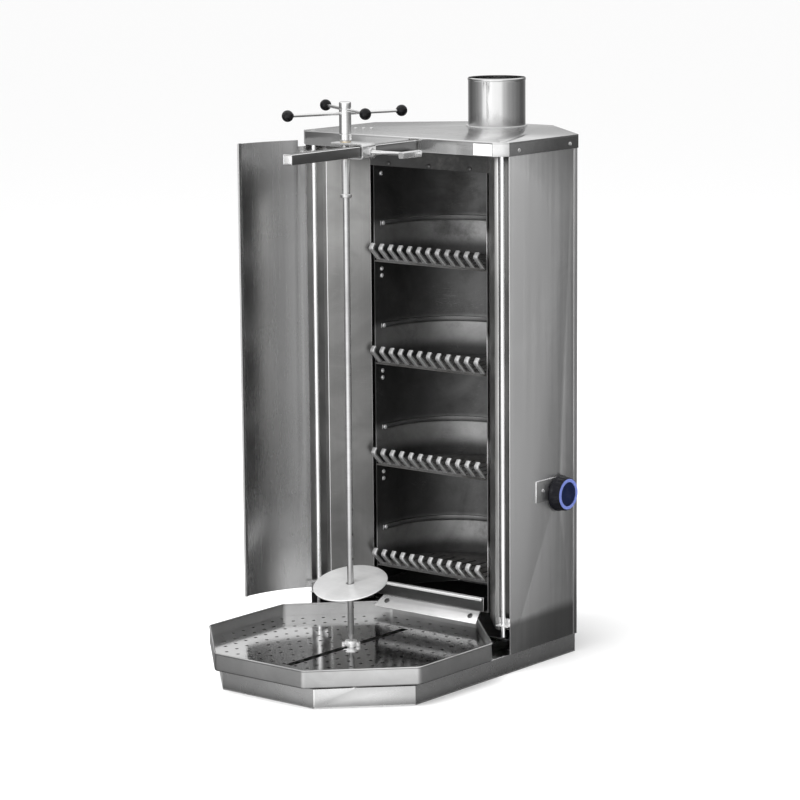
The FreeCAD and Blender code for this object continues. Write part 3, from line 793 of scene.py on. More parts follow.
def smooth_path(points: Sequence[Sequence[float]], radius: float, steps: int = 5,
                closed: bool = False) -> np.ndarray:
    """A path whose corners are rounded by short parabolas.

    Each corner C between A and B becomes (1-s)^2 P + 2s(1-s) C + s^2 Q, with P
    and Q a set distance from C on its two sides.

    Args:
        points: the corners.
        radius: distance from corner to where its curve starts.
        steps: points on each curve.
        closed: the path joins up.

    Returns:
        The rounded path's points.
    """
    p = np.array(points, float)
    count = len(p)
    s = np.linspace(0.0, 1.0, steps)[:, None]
    parts = []
    for k in range(count):
        if not closed and k in (0, count - 1):
            parts.append(p[k:k + 1])
            continue
        before, corner, after = p[k - 1], p[k], p[(k + 1) % count]
        start = corner + (before - corner) / np.linalg.norm(before - corner) * radius
        stop = corner + (after - corner) / np.linalg.norm(after - corner) * radius
        parts.append((1 - s) ** 2 * start + 2 * s * (1 - s) * corner + s ** 2 * stop)
    return np.vstack(parts)


def sweep(outline: np.ndarray, path: np.ndarray, side: Point, closed: bool = False,
          tag: int = 0) -> Shell:
    """An outline carried along a flat path.

    Point(i, j) = path_i + a_j side + b_j n_i, where n_i is square to both the
    side direction and the path, lengthened at bends so that walls stay even.

    Args:
        outline: closed outline, (along side, along normal).
        path: points of the path, in a plane square to side.
        side: direction square to the path's plane.
        closed: the path joins up.
        tag: material slot.

    Returns:
        The closed surface.
    """
    way = np.array(side, float) / np.linalg.norm(side)
    if closed:
        ahead = np.roll(path, -1, 0) - path
        behind = path - np.roll(path, 1, 0)
    else:
        steps = np.diff(path, axis=0)
        ahead = np.vstack([steps, steps[-1:]])
        behind = np.vstack([steps[:1], steps])
    ahead = ahead / np.linalg.norm(ahead, axis=1, keepdims=True)
    behind = behind / np.linalg.norm(behind, axis=1, keepdims=True)
    n1, n2 = np.cross(way, ahead), np.cross(way, behind)
    normal = (n1 + n2) / (1.0 + np.einsum("ij,ij->i", n1, n2))[:, None]
    grid = (path[:, None, :] + outline[None, :, 0:1] * way
            + outline[None, :, 1:2] * normal[:, None, :])
    return skin(grid, closed, tag)


def screw_head(centre: Point, axis: Point, radius: float = 0.0042, height: float = 0.0022,
               recess: float = 0.5, tag: int = 0) -> Shell:
    """A domed screw head with a cross recess.

    Height(r, t) = h sqrt(1 - 0.8 r^2), lowered where the point lies within the
    arms of a cross. A flat skirt closes it underneath.

    Args:
        centre: middle of the seat.
        axis: way the head faces.
        radius: head radius.
        height: head height.
        recess: depth of the cross as a share of the height.
        tag: material slot.

    Returns:
        The closed surface.
    """
    e1, e2, way = basis(axis)
    r = np.array([0.12, 0.28, 0.42, 0.56, 0.68, 0.86, 0.96, 1.0])
    t = np.linspace(0.0, 2 * math.pi, 32, endpoint=False)
    x, y = r[:, None] * np.cos(t), r[:, None] * np.sin(t)
    arm = (np.minimum(abs(x), abs(y)) < 0.11) & (np.maximum(abs(x), abs(y)) < 0.6)
    up = height * np.sqrt(1.0 - 0.8 * r[:, None] ** 2) - arm * height * recess
    grid = (np.array(centre) + radius * (x[..., None] * e1 + y[..., None] * e2)
            + up[..., None] * way)
    foot = grid[-1:] - up[-1:, :, None] * way
    points = np.vstack([grid.reshape(-1, 3), foot.reshape(-1, 3),
                        np.array(centre) + way * height * (1 - recess), np.array(centre)])
    rows = len(r) + 1
    first = np.arange(32)
    faces = (grid_faces(rows, 32) + fan(rows * 32, first)
             + fan(rows * 32 + 1, (first + (rows - 1) * 32)[::-1]))
    return Shell(points, faces, tag).outward()


def settle(piece: bpy.types.Object, body: str, nodes: Sequence[str]) -> None:
    """Shade a piece smooth up to its sharp edges and tell the frame what it is.

    Args:
        piece: the piece.
        body: the CAD body it rides on.
        nodes: CAD nodes it stands for.
    """
    mesh = piece.data
    mesh.polygons.foreach_set("use_smooth", [True] * len(mesh.polygons))
    mesh.set_sharp_from_angle(angle=SMOOTH_ANGLE)
    mesh.update()
    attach(piece, body)
    if nodes:
        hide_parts(*nodes)
    LOG.info("piece %s rides on %s with %d faces", piece.name, body, len(mesh.polygons))


def put(name: str, shells: Sequence[Shell], finishes: Sequence[object], body: str,
        nodes: Sequence[str] = ()) -> bpy.types.Object:
    """Make one piece of the object from its surfaces.

    Args:
        name: the piece's name.
        shells: its surfaces.
        finishes: one finish per material slot.
        body: the CAD body it rides on.
        nodes: CAD nodes it stands for.

    Returns:
        The new object.
    """
    points = np.vstack([s.points for s in shells])
    faces: list[tuple[int, ...]] = []
    tags: list[int] = []
    start = 0
    for shell in shells:
        faces += [tuple(v + start for v in f) for f in shell.faces]
        tags += [shell.tag] * len(shell.faces)
        start += len(shell.points)
    mesh = bpy.data.meshes.new(name)
    mesh.from_pydata(points.tolist(), [], faces)
    for finish in finishes:
        mesh.materials.append(finish.build())
    mesh.polygons.foreach_set("material_index", tags)
    piece = bpy.data.objects.new(name, mesh)
    bpy.context.scene.collection.objects.link(piece)
    settle(piece, body, nodes)
    return piece


def dress(finish: object, *nodes: str) -> None:
    """Give CAD nodes a worked material.

    Args:
        finish: the finish to build.
        *nodes: names of the nodes.
    """
    material = finish.build()
    for name in nodes:
        mesh = frame["nodes"][name].data
        mesh.materials.clear()
        mesh.materials.append(material)
        LOG.info("node %s wears %s", name, material.name)


def eased(node: str, finish: object, width: float, edge: object = EDGE_WEAR_HIGHLIGHT,
          angle: float = 40.0) -> bpy.types.Object:
    """A copy of a CAD node with its sharp edges eased, as a deburred piece has.

    The copy's doubles are merged and its flat triangles joined before a bevel
    of the given width rounds every edge sharper than the angle.

    Args:
        node: the CAD node.
        finish: finish of the faces.
        width: width of the eased edge.
        edge: finish of the eased edges.
        angle: sharpness from which an edge is eased, in degrees.

    Returns:
        The new object, which stands for the node.
    """
    source = frame["nodes"][node]
    shape = bmesh.new()
    shape.from_mesh(source.data)
    bmesh.ops.remove_doubles(shape, verts=shape.verts, dist=1e-6)
    bmesh.ops.dissolve_limit(shape, angle_limit=math.radians(0.5), verts=shape.verts,
                             edges=shape.edges, delimit=set())
    mesh = bpy.data.meshes.new(node + "_eased")
    shape.to_mesh(mesh)
    shape.free()
    mesh.materials.clear()
    mesh.materials.append(finish.build())
    mesh.materials.append(edge.build())
    mesh.polygons.foreach_set("material_index", [0] * len(mesh.polygons))
    piece = bpy.data.objects.new(node + "_eased", mesh)
    bpy.context.scene.collection.objects.link(piece)
    bevel = piece.modifiers.new("ease", "BEVEL")
    bevel.width = width
    bevel.segments = 2
    bevel.limit_method = "ANGLE"
    bevel.angle_limit = math.radians(angle)
    # The eased faces take the edge finish; the default one's bright tone is partly a painted
    # highlight.
    bevel.material = 1
    bevel.use_clamp_overlap = True
    graph = bpy.context.evaluated_depsgraph_get()
    final = bpy.data.meshes.new_from_object(piece.evaluated_get(graph))
    piece.modifiers.clear()
    piece.data = final
    bpy.data.meshes.remove(mesh)
    final.name = node + "_eased"
    settle(piece, source["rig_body"], [node])
    return piece


def low(node: str) -> Vector:
    """Lowest corner of a CAD node."""
    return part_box(node)[0]


def high(node: str) -> Vector:
    """Highest corner of a CAD node."""
    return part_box(node)[1]


def middle(node: str) -> Vector:
    """Middle of a CAD node's box."""
    return (low(node) + high(node)) / 2


def extent(node: str) -> tuple[Vector, Vector, Vector]:
    """Lowest corner, highest corner and middle of a CAD node's box."""
    return low(node), high(node), middle(node)


# ---------------------------------------------------------------- sub-assemblies
@dataclass
class BaseAndTray:
    """Base pan, drip tray and perforated plate.

    Args:
        wall: thickness of the tray's sheet.
        hem: width of the rolled top edge.
        corner: rounding of the tray's corners.
    """

    wall: float = 0.0015
    hem: float = 0.0044
    corner: float = 0.007

    def octagon(self) -> np.ndarray:
        """Corners of the tray in plan, from the CAD box and the octagon's proportion."""
        lo, hi = low("drip_tray"), high("drip_tray")
        leg = (hi.x - lo.x) * (1 - 1 / (1 + math.sqrt(2))) / 2
        return np.array([(lo.x + leg, lo.y), (hi.x - leg, lo.y), (hi.x, lo.y + leg),
                         (hi.x, hi.y - leg), (hi.x - leg, hi.y), (lo.x + leg, hi.y),
                         (lo.x, hi.y - leg), (lo.x, lo.y + leg)])

    def tray(self) -> None:
        """Formed tray: a wall with a rolled hem carried round the octagon, and its floor.

        The wall's outline runs up the outside, round the hem as a circle of the
        hem's width, and down the inside to the floor.
        """
        lo, hi = low("drip_tray"), high("drip_tray")
        plan = np.pad(self.octagon(), ((0, 0), (0, 1)), constant_values=lo.z)
        path = smooth_path(plan, self.corner, 5, closed=True)
        turn = np.linspace(-0.5, 1.45, 12) * math.pi
        roll = self.hem / 2
        hem = np.stack([hi.z - lo.z - roll + np.sin(turn) * roll,
                        roll * 0.65 - np.cos(turn) * roll], 1)
        base = np.array([(0.0, 0.004), (0.0, 0.0015), (0.0012, 0.0004), (0.003, 0.0)])
        inner = np.array([(0.004, self.wall), (0.0022, self.wall + 0.0004),
                          (self.wall, 0.004)])
        outline = np.vstack([base, hem, inner])
        wall = sweep(outline, path, (0, 0, 1), closed=True)
        grid = wall.points.reshape(len(path), len(outline), 3)
        around = tuple(range(len(path)))
        first, second, third = grid[:3, -1]
        if np.cross(second - first, third - second)[2] < 0:
            around = around[::-1]
        top = Shell(grid[:, -1].copy(), [around])
        under = Shell(grid[:, 0].copy(), [around[::-1]])
        put("formed_tray", [wall, top, under], [TRAY], "cabinet", ["drip_tray"])

    def build(self) -> None:
        """Build and dress the sub-assembly."""
        self.tray()
        eased("base_pan", BASE, 0.0012)
        dress(BASE, "base_floor")
        dress(PLATE, "drip_plate")


@dataclass
class Cabinet:
    """Lid, casing, cheeks, rods and small fixings.

    Args:
        ease: width of the eased sheet edges.
        bead: height of the bead at the outlet's mouth.
    """

    ease: float = 0.0006
    bead: float = 0.0009

    def outlet(self) -> None:
        """Outlet tube: a ring profile with a rolled bead at its mouth, turned round +Z."""
        lo, hi, mid = extent("flue_pipe")
        outer = (hi.x - lo.x) / 2
        inner = outer - 0.0015
        tall = hi.z - lo.z
        turn = np.linspace(-0.5, 0.5, 7) * math.pi
        bead = [(outer + math.cos(a) * self.bead, tall - 0.004 + math.sin(a) * 0.003)
                for a in turn]
        profile = [(outer, 0.0), (outer, tall * 0.5), (outer, tall - 0.0085), *bead,
                   (outer - 0.0006, tall), (inner, tall - 0.0004), (inner, tall * 0.5),
                   (inner, 0.0)]
        put("outlet_tube", [lathe(profile, (mid.x, mid.y, lo.z), (0, 0, 1), 96)], [TUBE],
            "cabinet", ["flue_pipe"])
        eased("flue_collar", FIXING, 0.0004)

    def rods(self) -> None:
        """Hinge rods: long lathe profiles with a chamfer at both ends."""
        for side in ("left", "right"):
            node = "hinge_rod_" + side
            lo, hi, mid = extent(node)
            radius = (hi.x - lo.x) / 2
            tall = hi.z - lo.z
            cuts = np.linspace(0.001, tall - 0.001, 6)
            profile = [(0.0, 0.0), (radius - 0.001, 0.0), *[(radius, h) for h in cuts],
                       (radius - 0.001, tall), (0.0, tall)]
            put(node + "_turned", [lathe(profile, (mid.x, mid.y, lo.z), (0, 0, 1), 32)], [ROD],
                "cabinet", [node])

    def screws(self) -> None:
        """Domed cross-recess screws where the CAD places plain heads."""
        lid, plate = high("top_plate"), high("knob_backplate")
        front = low("deflector_plate")
        slope = (0.0, -0.626, 0.78)
        shells = []
        for side in (-1, 1):
            shells += [screw_head((side * lid.x, y, lid.z - 0.019), (side, 0, 0))
                       for y in (0.060, 0.245)]
            seat = (side * 0.1197, front.y + 0.0144, front.z + 0.0136)
            shells.append(screw_head(seat, slope, 0.0062, 0.0028, tag=1))
        shells += [screw_head((-0.217 + 0.015 * k, 0.121 + 0.010 * k, lid.z), (0, 0, 1))
                   for k in range(3)]
        shells.append(screw_head((plate.x, 0.145, plate.z - 0.023), (1, 0, 0)))
        put("panel_screw_heads", shells, [FIXING, DARK_FIXING], "cabinet", ["panel_screws"])

    def build(self) -> None:
        """Build and dress the sub-assembly."""
        self.outlet()
        self.rods()
        self.screws()
        eased("top_plate", LID, 0.0007)
        eased("side_panel_right", PANEL, self.ease)
        for node in ("side_panel_left", "rear_casing"):
            eased(node, CASING, self.ease)
        for node in ("jamb_right", "jamb_left"):
            eased(node, CHEEK, self.ease)
        for node in ("hinge_plate_left", "hinge_plate_right", "rod_fittings"):
            eased(node, BRIGHT, 0.0005)
        dress(BAFFLE, "top_baffle")
        dress(CASING, "smoke_deck", "case_floor")
        dress(FOIL, "rating_plate")


@dataclass
class FireSpace:
    """Liner, shelves, bent-bar fences and ash pan.

    Args:
        bars: bent bars on each fence.
        thick: thickness of a bar.
        wide: width of a bar.
        shelves: fire shelves, one above the other.
    """

    bars: int = 12
    thick: float = 0.0050
    wide: float = 0.0122
    shelves: int = 4

    def fence(self, index: int) -> None:
        """Fence: rounded bars carried along a bent path, on a round-edged carrier.

        Each bar is a rounded rectangle carried out and down from the carrier,
        round the low bend and up to its tip.

        Args:
            index: number of the shelf, from 1.
        """
        node = "fence_%d" % index
        lo, hi = low(node), high(node)
        level = lo.z
        back = hi.y - 0.002
        outline = rounded_box_outline(self.wide, self.thick, 0.0018, 3)
        path = [(back - 0.001, level + 0.0035), (lo.y + 0.003, level + 0.0305),
                (lo.y + 0.0115, hi.z - 0.0015)]
        shells = []
        span = hi.x - lo.x - 0.010
        for k in range(self.bars):
            x = lo.x + 0.005 + span * k / (self.bars - 1)
            corners = [(x, y, z) for y, z in path]
            shells.append(sweep(outline, smooth_path(corners, 0.005, 6), (1, 0, 0)))
        rail = rounded_box_outline(0.006, 0.005, 0.0012, 3)
        line = np.array([(lo.x + 0.002, hi.y - 0.003, level + 0.0025),
                         (hi.x - 0.002, hi.y - 0.003, level + 0.0025)])
        shells.append(sweep(rail, line, (0, 1, 0), tag=1))
        put(node + "_bars", shells, [FENCE, SHELF], "cabinet", [node])

    def bolts(self) -> None:
        """Domed bolts that hold the liner's strips, read from the CAD heads' places.

        Corners that share an edge or a place get one label, so each CAD head is
        one label; its thinnest side gives the way the bolt faces.
        """
        mesh = frame["nodes"]["liner_bolts"].data
        places = np.empty(len(mesh.vertices) * 3)
        mesh.vertices.foreach_get("co", places)
        places = places.reshape(-1, 3)
        ends = np.empty(len(mesh.edges) * 2, int)
        mesh.edges.foreach_get("vertices", ends)
        ends = ends.reshape(-1, 2)
        same = np.unique(np.round(places, 5), axis=0, return_inverse=True)[1].ravel()
        label = same.copy()
        while True:
            lowest = np.full(same.max() + 1, label.max())
            pair = label[ends].min(1)
            np.minimum.at(lowest, same, label)
            np.minimum.at(lowest, same[ends[:, 0]], pair)
            np.minimum.at(lowest, same[ends[:, 1]], pair)
            if (lowest[same] == label).all():
                break
            label = lowest[same]
        shells = []
        for mark in np.unique(label):
            head = places[label == mark]
            spot = (head.min(0) + head.max(0)) / 2
            thin = int(np.argmin(head.max(0) - head.min(0)))
            way = np.zeros(3)
            way[thin] = -1.0 if thin == 1 else -math.copysign(1.0, spot[0])
            shells.append(screw_head(tuple(spot - way * 0.0015), tuple(way), 0.005, 0.0034, 0.0,
                                     int(thin == 1)))
        LOG.info("%d liner bolts found", len(shells))
        put("liner_bolt_heads", shells, [BOLT, DARK_FIXING], "cabinet", ["liner_bolts"])

    def pan(self) -> None:
        """Ash pan with its rolled front edge, a round bar with domed ends."""
        eased("ash_pan", ASH, 0.0005)
        lo, hi, mid = extent("pan_lip")
        radius = (hi.z - lo.z) / 2
        turn = np.linspace(0.0, 0.5, 6) * math.pi
        length = hi.x - lo.x
        start = [(math.sin(a) * radius, radius - math.cos(a) * radius) for a in turn]
        end = [(r, length - h) for r, h in reversed(start)]
        put("pan_rolled_edge", [lathe(start + end, (lo.x, mid.y, mid.z), (1, 0, 0), 32)],
            [BRIGHT], "ash_drawer", ["pan_lip"])

    def build(self) -> None:
        """Build and dress the sub-assembly."""
        for index in range(1, self.shelves + 1):
            self.fence(index)
            eased("shelf_%d" % index, SHELF, 0.0006, SHELF)
        self.bolts()
        self.pan()
        eased("back_rings", STRIP, 0.0012, STRIP_EDGE)
        eased("deflector_plate", BRIGHT, 0.0006)
        dress(LINER, "fire_liner")
        dress(SHELF, "hearth_plate")


@dataclass
class WindWing:
    """Curved wing hung on the left rod.

    Args:
        hem: width of the folded edge.
    """

    hem: float = 0.011

    def build(self) -> None:
        """Ease the curved sheet and its lugs, and fold a hem on its free edge.

        The hem is a rounded strip carried up along the free edge.
        """
        eased("wing_door", WING, 0.0006)
        eased("door_lugs", FIXING, 0.0005)
        lo, hi = low("wing_door"), high("wing_door")
        outline = rounded_box_outline(0.0042, self.hem, 0.0018, 4)
        edge = Vector((lo.x + 0.0018, lo.y + self.hem / 2 + 0.0004, 0.0))
        turned = math.radians(6.0)
        spin = np.array([[math.cos(turned), math.sin(turned)],
                         [-math.sin(turned), math.cos(turned)]])
        outline = outline @ spin
        rows = np.linspace(lo.z, hi.z, 9)
        grid = np.empty((len(rows), len(outline), 3))
        grid[..., 0] = edge.x + outline[None, :, 0]
        grid[..., 1] = edge.y + outline[None, :, 1]
        grid[..., 2] = rows[:, None]
        put("wing_edge_hem", [skin(grid)], [WING], "wing")


@dataclass
class SpitArm:
    """Square arm, bent strap with its bushes, and the clamp.

    Args:
        bend: rounding of the strap's bends.
        thick: thickness of the strap.
    """

    bend: float = 0.006
    thick: float = 0.005

    def strap(self) -> None:
        """C-shaped strap: a rounded flat bar carried round two bends."""
        lo, hi = low("spit_bracket"), high("spit_bracket")
        y = (lo.y + hi.y) / 2
        half = self.thick / 2
        corners = [(lo.x, y, hi.z - half), (hi.x - half, y, hi.z - half),
                   (hi.x - half, y, lo.z + half), (lo.x + 0.008, y, lo.z + half)]
        outline = rounded_box_outline(hi.y - lo.y, self.thick, 0.0009, 3)
        put("bent_strap", [sweep(outline, smooth_path(corners, self.bend, 7), (0, 1, 0))],
            [STRAP], "carriage", ["spit_bracket"])

    def clamp(self) -> None:
        """Clamp bar turned with rounded ends, and a lever of rounded square bar."""
        lo, hi, mid = extent("clamp_screw")
        radius = (hi.z - lo.z) / 2
        length = hi.x - lo.x
        ridges = []
        for h in np.arange(0.006, length * 0.45, 0.0018):
            ridges += [(radius, h), (radius - 0.0004, h + 0.0009)]
        profile = [(0.0, 0.0), (radius - 0.001, 0.0), (radius, 0.001), *ridges,
                   (radius, length - 0.001), (radius - 0.001, length), (0.0, length)]
        put("clamp_bar", [lathe(profile, (lo.x, mid.y, mid.z), (1, 0, 0), 32)], [POLISHED],
            "clamp", ["clamp_screw"])
        lo, hi, mid = extent("clamp_lever")
        outline = rounded_box_outline(hi.x - lo.x, hi.z - lo.z, 0.0028, 5)
        inset = np.array([0.0, 0.02, 0.05, 0.5, 0.95, 0.98, 1.0])
        scale = np.array([0.86, 0.95, 1.0, 1.0, 1.0, 0.95, 0.86])
        grid = np.empty((len(inset), len(outline), 3))
        grid[..., 0] = mid.x + outline[None, :, 0] * scale[:, None]
        grid[..., 1] = lo.y + (hi.y - lo.y) * inset[:, None]
        grid[..., 2] = mid.z + outline[None, :, 1] * scale[:, None]
        put("clamp_bar_lever", [skin(grid)], [STRAP], "clamp", ["clamp_lever"])

    def build(self) -> None:
        """Build and dress the sub-assembly."""
        self.strap()
        self.clamp()
        eased("arm_bar", ARM, 0.0012)
        eased("arm_end_cap", BRIGHT, 0.0012)
        dress(CHEEK, "arm_socket")
        eased("bracket_bushings", BRASS, 0.0006)
        eased("clamp_nut", FIXING, 0.0006)


@dataclass
class Spit:
    """Skewer, drive shaft, hand star, meat disc and foot bearing.

    Args:
        star: heading in degrees and height over the lid of each handle bar.
        reach: distance of a ball from the spit's axis.
        half_bar: half the length of a handle bar.
        ball: ball radius.
        disc_radius: radius of the meat disc.
        disc_lean: direction of the disc's axis.
    """

    star: tuple[tuple[float, float], ...] = ((67.0, 0.063), (-32.0, 0.071))
    reach: float = 0.136
    half_bar: float = 0.131
    ball: float = 0.0125
    disc_radius: float = 0.0825
    disc_lean: Point = (0.048, -0.283, 1.0)

    def hand_star(self) -> None:
        """Bars with domed ends, and balls whose profile is a sphere with a moulded neck."""
        axis = middle("handle_hub")
        lid = high("top_plate").z
        bars, balls = [], []
        for heading, rise in self.star:
            way = np.array((math.cos(math.radians(heading)), math.sin(math.radians(heading)),
                            0.0))
            middle_point = np.array((axis.x, axis.y, lid + rise))
            start = middle_point - way * self.half_bar
            length = 2 * self.half_bar
            cuts = np.linspace(0.001, length - 0.001, 5)
            profile = [(0.0, 0.0), (0.0026, 0.0), *[(0.0035, h) for h in cuts],
                       (0.0026, length), (0.0, length)]
            bars.append(lathe(profile, tuple(start), tuple(way), 20))
            for side in (-1.0, 1.0):
                centre = middle_point + way * side * self.reach
                turn = np.linspace(0.0, 0.86, 22) * math.pi
                seam = 1.0 - 0.012 * np.exp(-((turn / math.pi - 0.5) / 0.018) ** 2)
                round_part = [(math.sin(a) * self.ball * k, math.cos(a) * self.ball * k)
                              for a, k in zip(turn, seam)]
                neck = [(0.0052, -0.0121), (0.0049, -0.0124), (0.0, -0.0124)]
                balls.append(lathe(round_part + neck, tuple(centre), tuple(way * side), 40))
        put("star_bars", bars, [POLISHED], "spit", ["handle_rods"])
        put("star_balls", balls, [BALL], "spit", ["ball_knobs"])

    def hub(self) -> None:
        """Turned hub: a stepped profile with grooves and a domed cap, turned round +Z."""
        lo, hi, mid = extent("handle_hub")
        r = (hi.x - lo.x) / 2
        tall = hi.z - lo.z
        profile = [(0.0, 0.0), (r - 0.001, 0.0), (r, 0.001), (r, 0.012), (r - 0.0008, 0.0128),
                   (r - 0.0008, 0.0142), (r, 0.015), (r, tall - 0.016),
                   (r - 0.0008, tall - 0.0152), (r - 0.0008, tall - 0.0138),
                   (r, tall - 0.013), (r, tall - 0.003), (r - 0.0009, tall - 0.0012),
                   (r - 0.003, tall - 0.0002), (r - 0.006, tall), (0.0, tall)]
        put("turned_hub", [lathe(profile, (mid.x, mid.y, lo.z), (0, 0, 1), 48)], [POLISHED],
            "spit", ["handle_hub"])

    def disc(self) -> None:
        """Meat disc: a ring profile with a rounded rim, turned round its leaning axis."""
        mid = middle("spit_disc")
        radius, half, hole = self.disc_radius, 0.0015, 0.0092
        turn = np.linspace(-0.5, 0.5, 7) * math.pi
        rim = [(radius - half + math.cos(a) * half, math.sin(a) * half) for a in turn]
        faces_out = [(hole, -half), (0.03, -half), (0.06, -half)]
        back = [(0.06, half), (0.03, half), (hole, half)]
        put("leaning_disc", [lathe(faces_out + rim + back, tuple(mid), self.disc_lean, 96)], [DISC],
            "spit", ["spit_disc"])

    def build(self) -> None:
        """Build and dress the sub-assembly."""
        self.hand_star()
        self.hub()
        self.disc()
        eased("drive_shaft", SHAFT, 0.0006)
        dress(SHAFT, "skewer", "disc_pin")
        eased("lower_bearing", BOLT, 0.0008)
        dress(FIXING, "bearing_washer")


@dataclass
class ControlKnob:
    """Side knob with its blue ring, dark centre and back plate.

    Args:
        flutes: grooves round the grip.
        depth: depth of a flute as a share of the radius.
    """

    flutes: int = 20
    depth: float = 0.045

    def build(self) -> None:
        """Fluted grip, ring and centre, each a profile turned round +X.

        The grip's radius falls by a cosine of the turn angle where it is gripped.
        """
        lo, hi, mid = extent("knob_body")
        r = (hi.z - lo.z) / 2
        deep = hi.x - lo.x
        profile = [(0.0, 0.0), (r - 0.001, 0.0), (r, 0.001), (r, 0.005), (r - 0.0014, 0.0062),
                   (r - 0.002, 0.009), (r - 0.003, deep - 0.004), (r - 0.0038, deep - 0.0012),
                   (r - 0.0052, deep), (0.0345, deep), (0.034, deep - 0.001),
                   (0.0265, deep - 0.001), (0.026, deep - 0.002), (0.0, deep - 0.002)]
        steps = 160
        t = np.linspace(0.0, 2 * math.pi, steps, endpoint=False)
        rings = len(profile) - 2
        weight = np.zeros((rings, 1))
        weight[4:7, 0] = (0.7, 1.0, 0.7)
        flute = 1.0 - self.depth * weight * (0.5 + 0.5 * np.cos(self.flutes * t)) ** 2
        put("fluted_grip", [lathe(profile, (lo.x, mid.y, mid.z), (1, 0, 0), steps, flute)],
            [GRIP], "knob", ["knob_body"])
        face = high("knob_ring").x
        ring = [(0.0268, -0.003), (0.0268, -0.0008), (0.0276, 0.0), (0.0305, 0.0003),
                (0.0332, 0.0), (0.034, -0.0008), (0.034, -0.003)]
        put("trim_ring", [lathe(ring, (face, mid.y, mid.z), (1, 0, 0), 96)], [TRIM], "knob",
            ["knob_ring"])
        cap = [(0.0, -0.0045), (0.026, -0.0045), (0.026, -0.0022), (0.025, -0.0012),
               (0.012, -0.0004), (0.0, -0.0002)]
        put("centre_cap", [lathe(cap, (face, mid.y, mid.z), (1, 0, 0), 64)], [CENTRE], "knob")
        eased("knob_backplate", BACKPLATE, 0.0005)
        dress(FIXING, "knob_shaft")


def aimed(place: Point, aim: Point) -> Matrix:
    """Place and heading of something that stands at a place and points at an aim."""
    way = Vector(aim) - Vector(place)
    return Matrix.Translation(Vector(place)) @ way.to_track_quat("-Z", "Y").to_matrix().to_4x4()


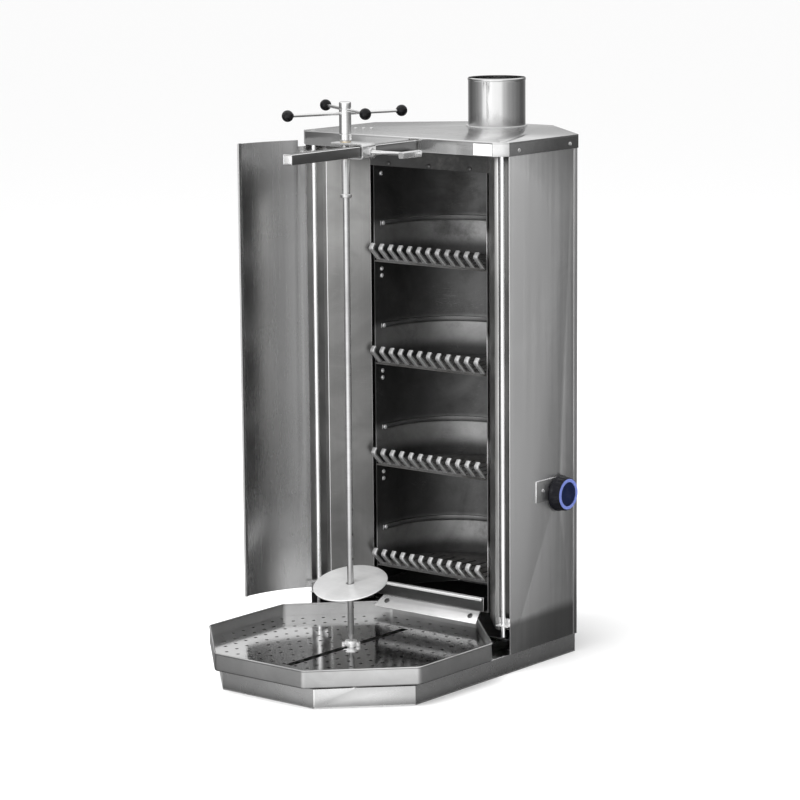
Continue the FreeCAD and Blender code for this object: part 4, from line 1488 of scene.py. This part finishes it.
@dataclass
class Studio:
    """Camera, floor, soft light and the bright room that steel reflects.

    Args:
        eye: camera place.
        aim: point it looks at.
        lens: focal length in millimetres on a 36 mm sensor.
        roll: camera roll in degrees.
    """

    eye: Point = (4.2389, -5.2198, 1.7492)
    aim: Point = (0.0021, 0.0015, 0.5818)
    lens: float = 139.3
    roll: float = -0.48

    def camera(self) -> None:
        """Camera turned to its aim, with its small roll."""
        data = bpy.data.cameras.new("camera")
        data.lens = self.lens
        data.sensor_width = 36.0
        data.clip_end = 200.0
        camera = bpy.data.objects.new("camera", data)
        spin = Matrix.Rotation(math.radians(self.roll), 4, "Z")
        camera.matrix_world = aimed(self.eye, self.aim) @ spin
        bpy.context.scene.collection.objects.link(camera)
        bpy.context.scene.camera = camera

    def floor(self) -> None:
        """Wide pale floor: a disc of rings, point(r, t) = (r cos t, r sin t, 0)."""
        r = np.array([0.5, 2.0, 8.0, 60.0])[:, None]
        t = np.linspace(0.0, 2 * math.pi, 64, endpoint=False)[None, :]
        grid = np.stack([r * np.cos(t), r * np.sin(t), np.zeros_like(r * t)], -1)
        points = np.vstack([grid.reshape(-1, 3), (0.0, 0.0, 0.0)])
        faces = grid_faces(4, 64) + fan(256, np.arange(64))
        mesh = bpy.data.meshes.new("floor")
        mesh.from_pydata(points.tolist(), [], faces)
        material, _, shader = fresh("pale_floor")
        shader.inputs["Base Color"].default_value = (0.97, 0.97, 0.97, 1.0)
        shader.inputs["Roughness"].default_value = 0.9
        shader.inputs["Specular IOR Level"].default_value = 0.1
        mesh.materials.append(material)
        floor = bpy.data.objects.new("floor", mesh)
        floor.location.z = -0.0005
        floor.visible_glossy = False
        bpy.context.scene.collection.objects.link(floor)

    def lamp(self, name: str, place: Point, aim: Point, size: float, power: float) -> None:
        """One square soft light that steel doesn't mirror.

        Args:
            name: the lamp's name.
            place: where it hangs.
            aim: where it points.
            size: side length.
            power: watts.
        """
        data = bpy.data.lights.new(name, "AREA")
        data.shape = "SQUARE"
        data.size = size
        data.energy = power
        lamp = bpy.data.objects.new(name, data)
        lamp.matrix_world = aimed(place, aim)
        lamp.visible_glossy = False
        lamp.visible_camera = False
        bpy.context.scene.collection.objects.link(lamp)

    def room(self) -> None:
        """Pale surroundings, with bright and dark walls that only polished steel mirrors."""
        world = bpy.data.worlds.new("studio")
        bpy.context.scene.world = world
        world.use_nodes = True
        world.cycles.sampling_method = "NONE"
        tree = world.node_tree
        tree.nodes.clear()
        w = Wires(tree)
        way = w.split(w.add("ShaderNodeTexCoord").outputs["Generated"])
        heading = w.math("ARCTAN2", way[1], way[0])
        turn = w.math("MULTIPLY_ADD", heading, 1 / (2 * math.pi))
        turn.node.inputs[2].default_value = 0.5
        walls = ((-180, .12), (-155, .2), (-138, .3), (-120, .5), (-105, 1.3), (-89, 1.65),
                 (-60, 1.4), (-39, 1.3), (-22, .7), (0, .42), (20, .3), (42, .2), (61, .12),
                 (80, .13), (95, .22), (118, .5), (138, .55), (160, .22), (180, .12))
        stops = [((angle + 180) / 360, value / 2) for angle, value in walls]
        wall = w.shade(w.ramp(turn, stops), 2.0)
        ceiling = w.span(way[2], 0.18, 0.5)
        ground = w.span(way[2], -0.6, -0.28, 0.3, 1.0)
        room = w.blend(ceiling, w.shade(wall, ground), (1.15, 1.15, 1.15, 1.0))
        path = w.add("ShaderNodeLightPath")
        soft = w.blend(path.outputs["Is Diffuse Ray"], room, (1.0, 1.0, 1.0, 1.0))
        seen = w.blend(path.outputs["Is Camera Ray"], soft, (1.0, 1.0, 1.0, 1.0))
        sky = w.add("ShaderNodeBackground")
        w.feed(sky.inputs["Color"], seen)
        w.feed(w.add("ShaderNodeOutputWorld").inputs["Surface"], sky.outputs[0])

    def build(self) -> None:
        """Set up the whole studio."""
        bpy.context.scene.view_settings.view_transform = "Standard"
        self.camera()
        self.floor()
        self.room()
        self.lamp("overhead", (-0.6, -1.2, 4.0), (0.0, 0.0, 0.5), 3.2, 190.0)
        self.lamp("front_left", (-1.6, -3.0, 1.5), (0.0, 0.1, 0.7), 1.2, 55.0)


def main() -> None:
    """Build every sub-assembly, then the studio."""
    logging.basicConfig(level=logging.INFO, format="%(levelname)s %(message)s")
    for part in (BaseAndTray(), Cabinet(), FireSpace(), WindWing(), SpitArm(), Spit(),
                 ControlKnob(), Studio()):
        part.build()
        LOG.info("finished %s", type(part).__name__)


if __name__ == "__main__":
    main()
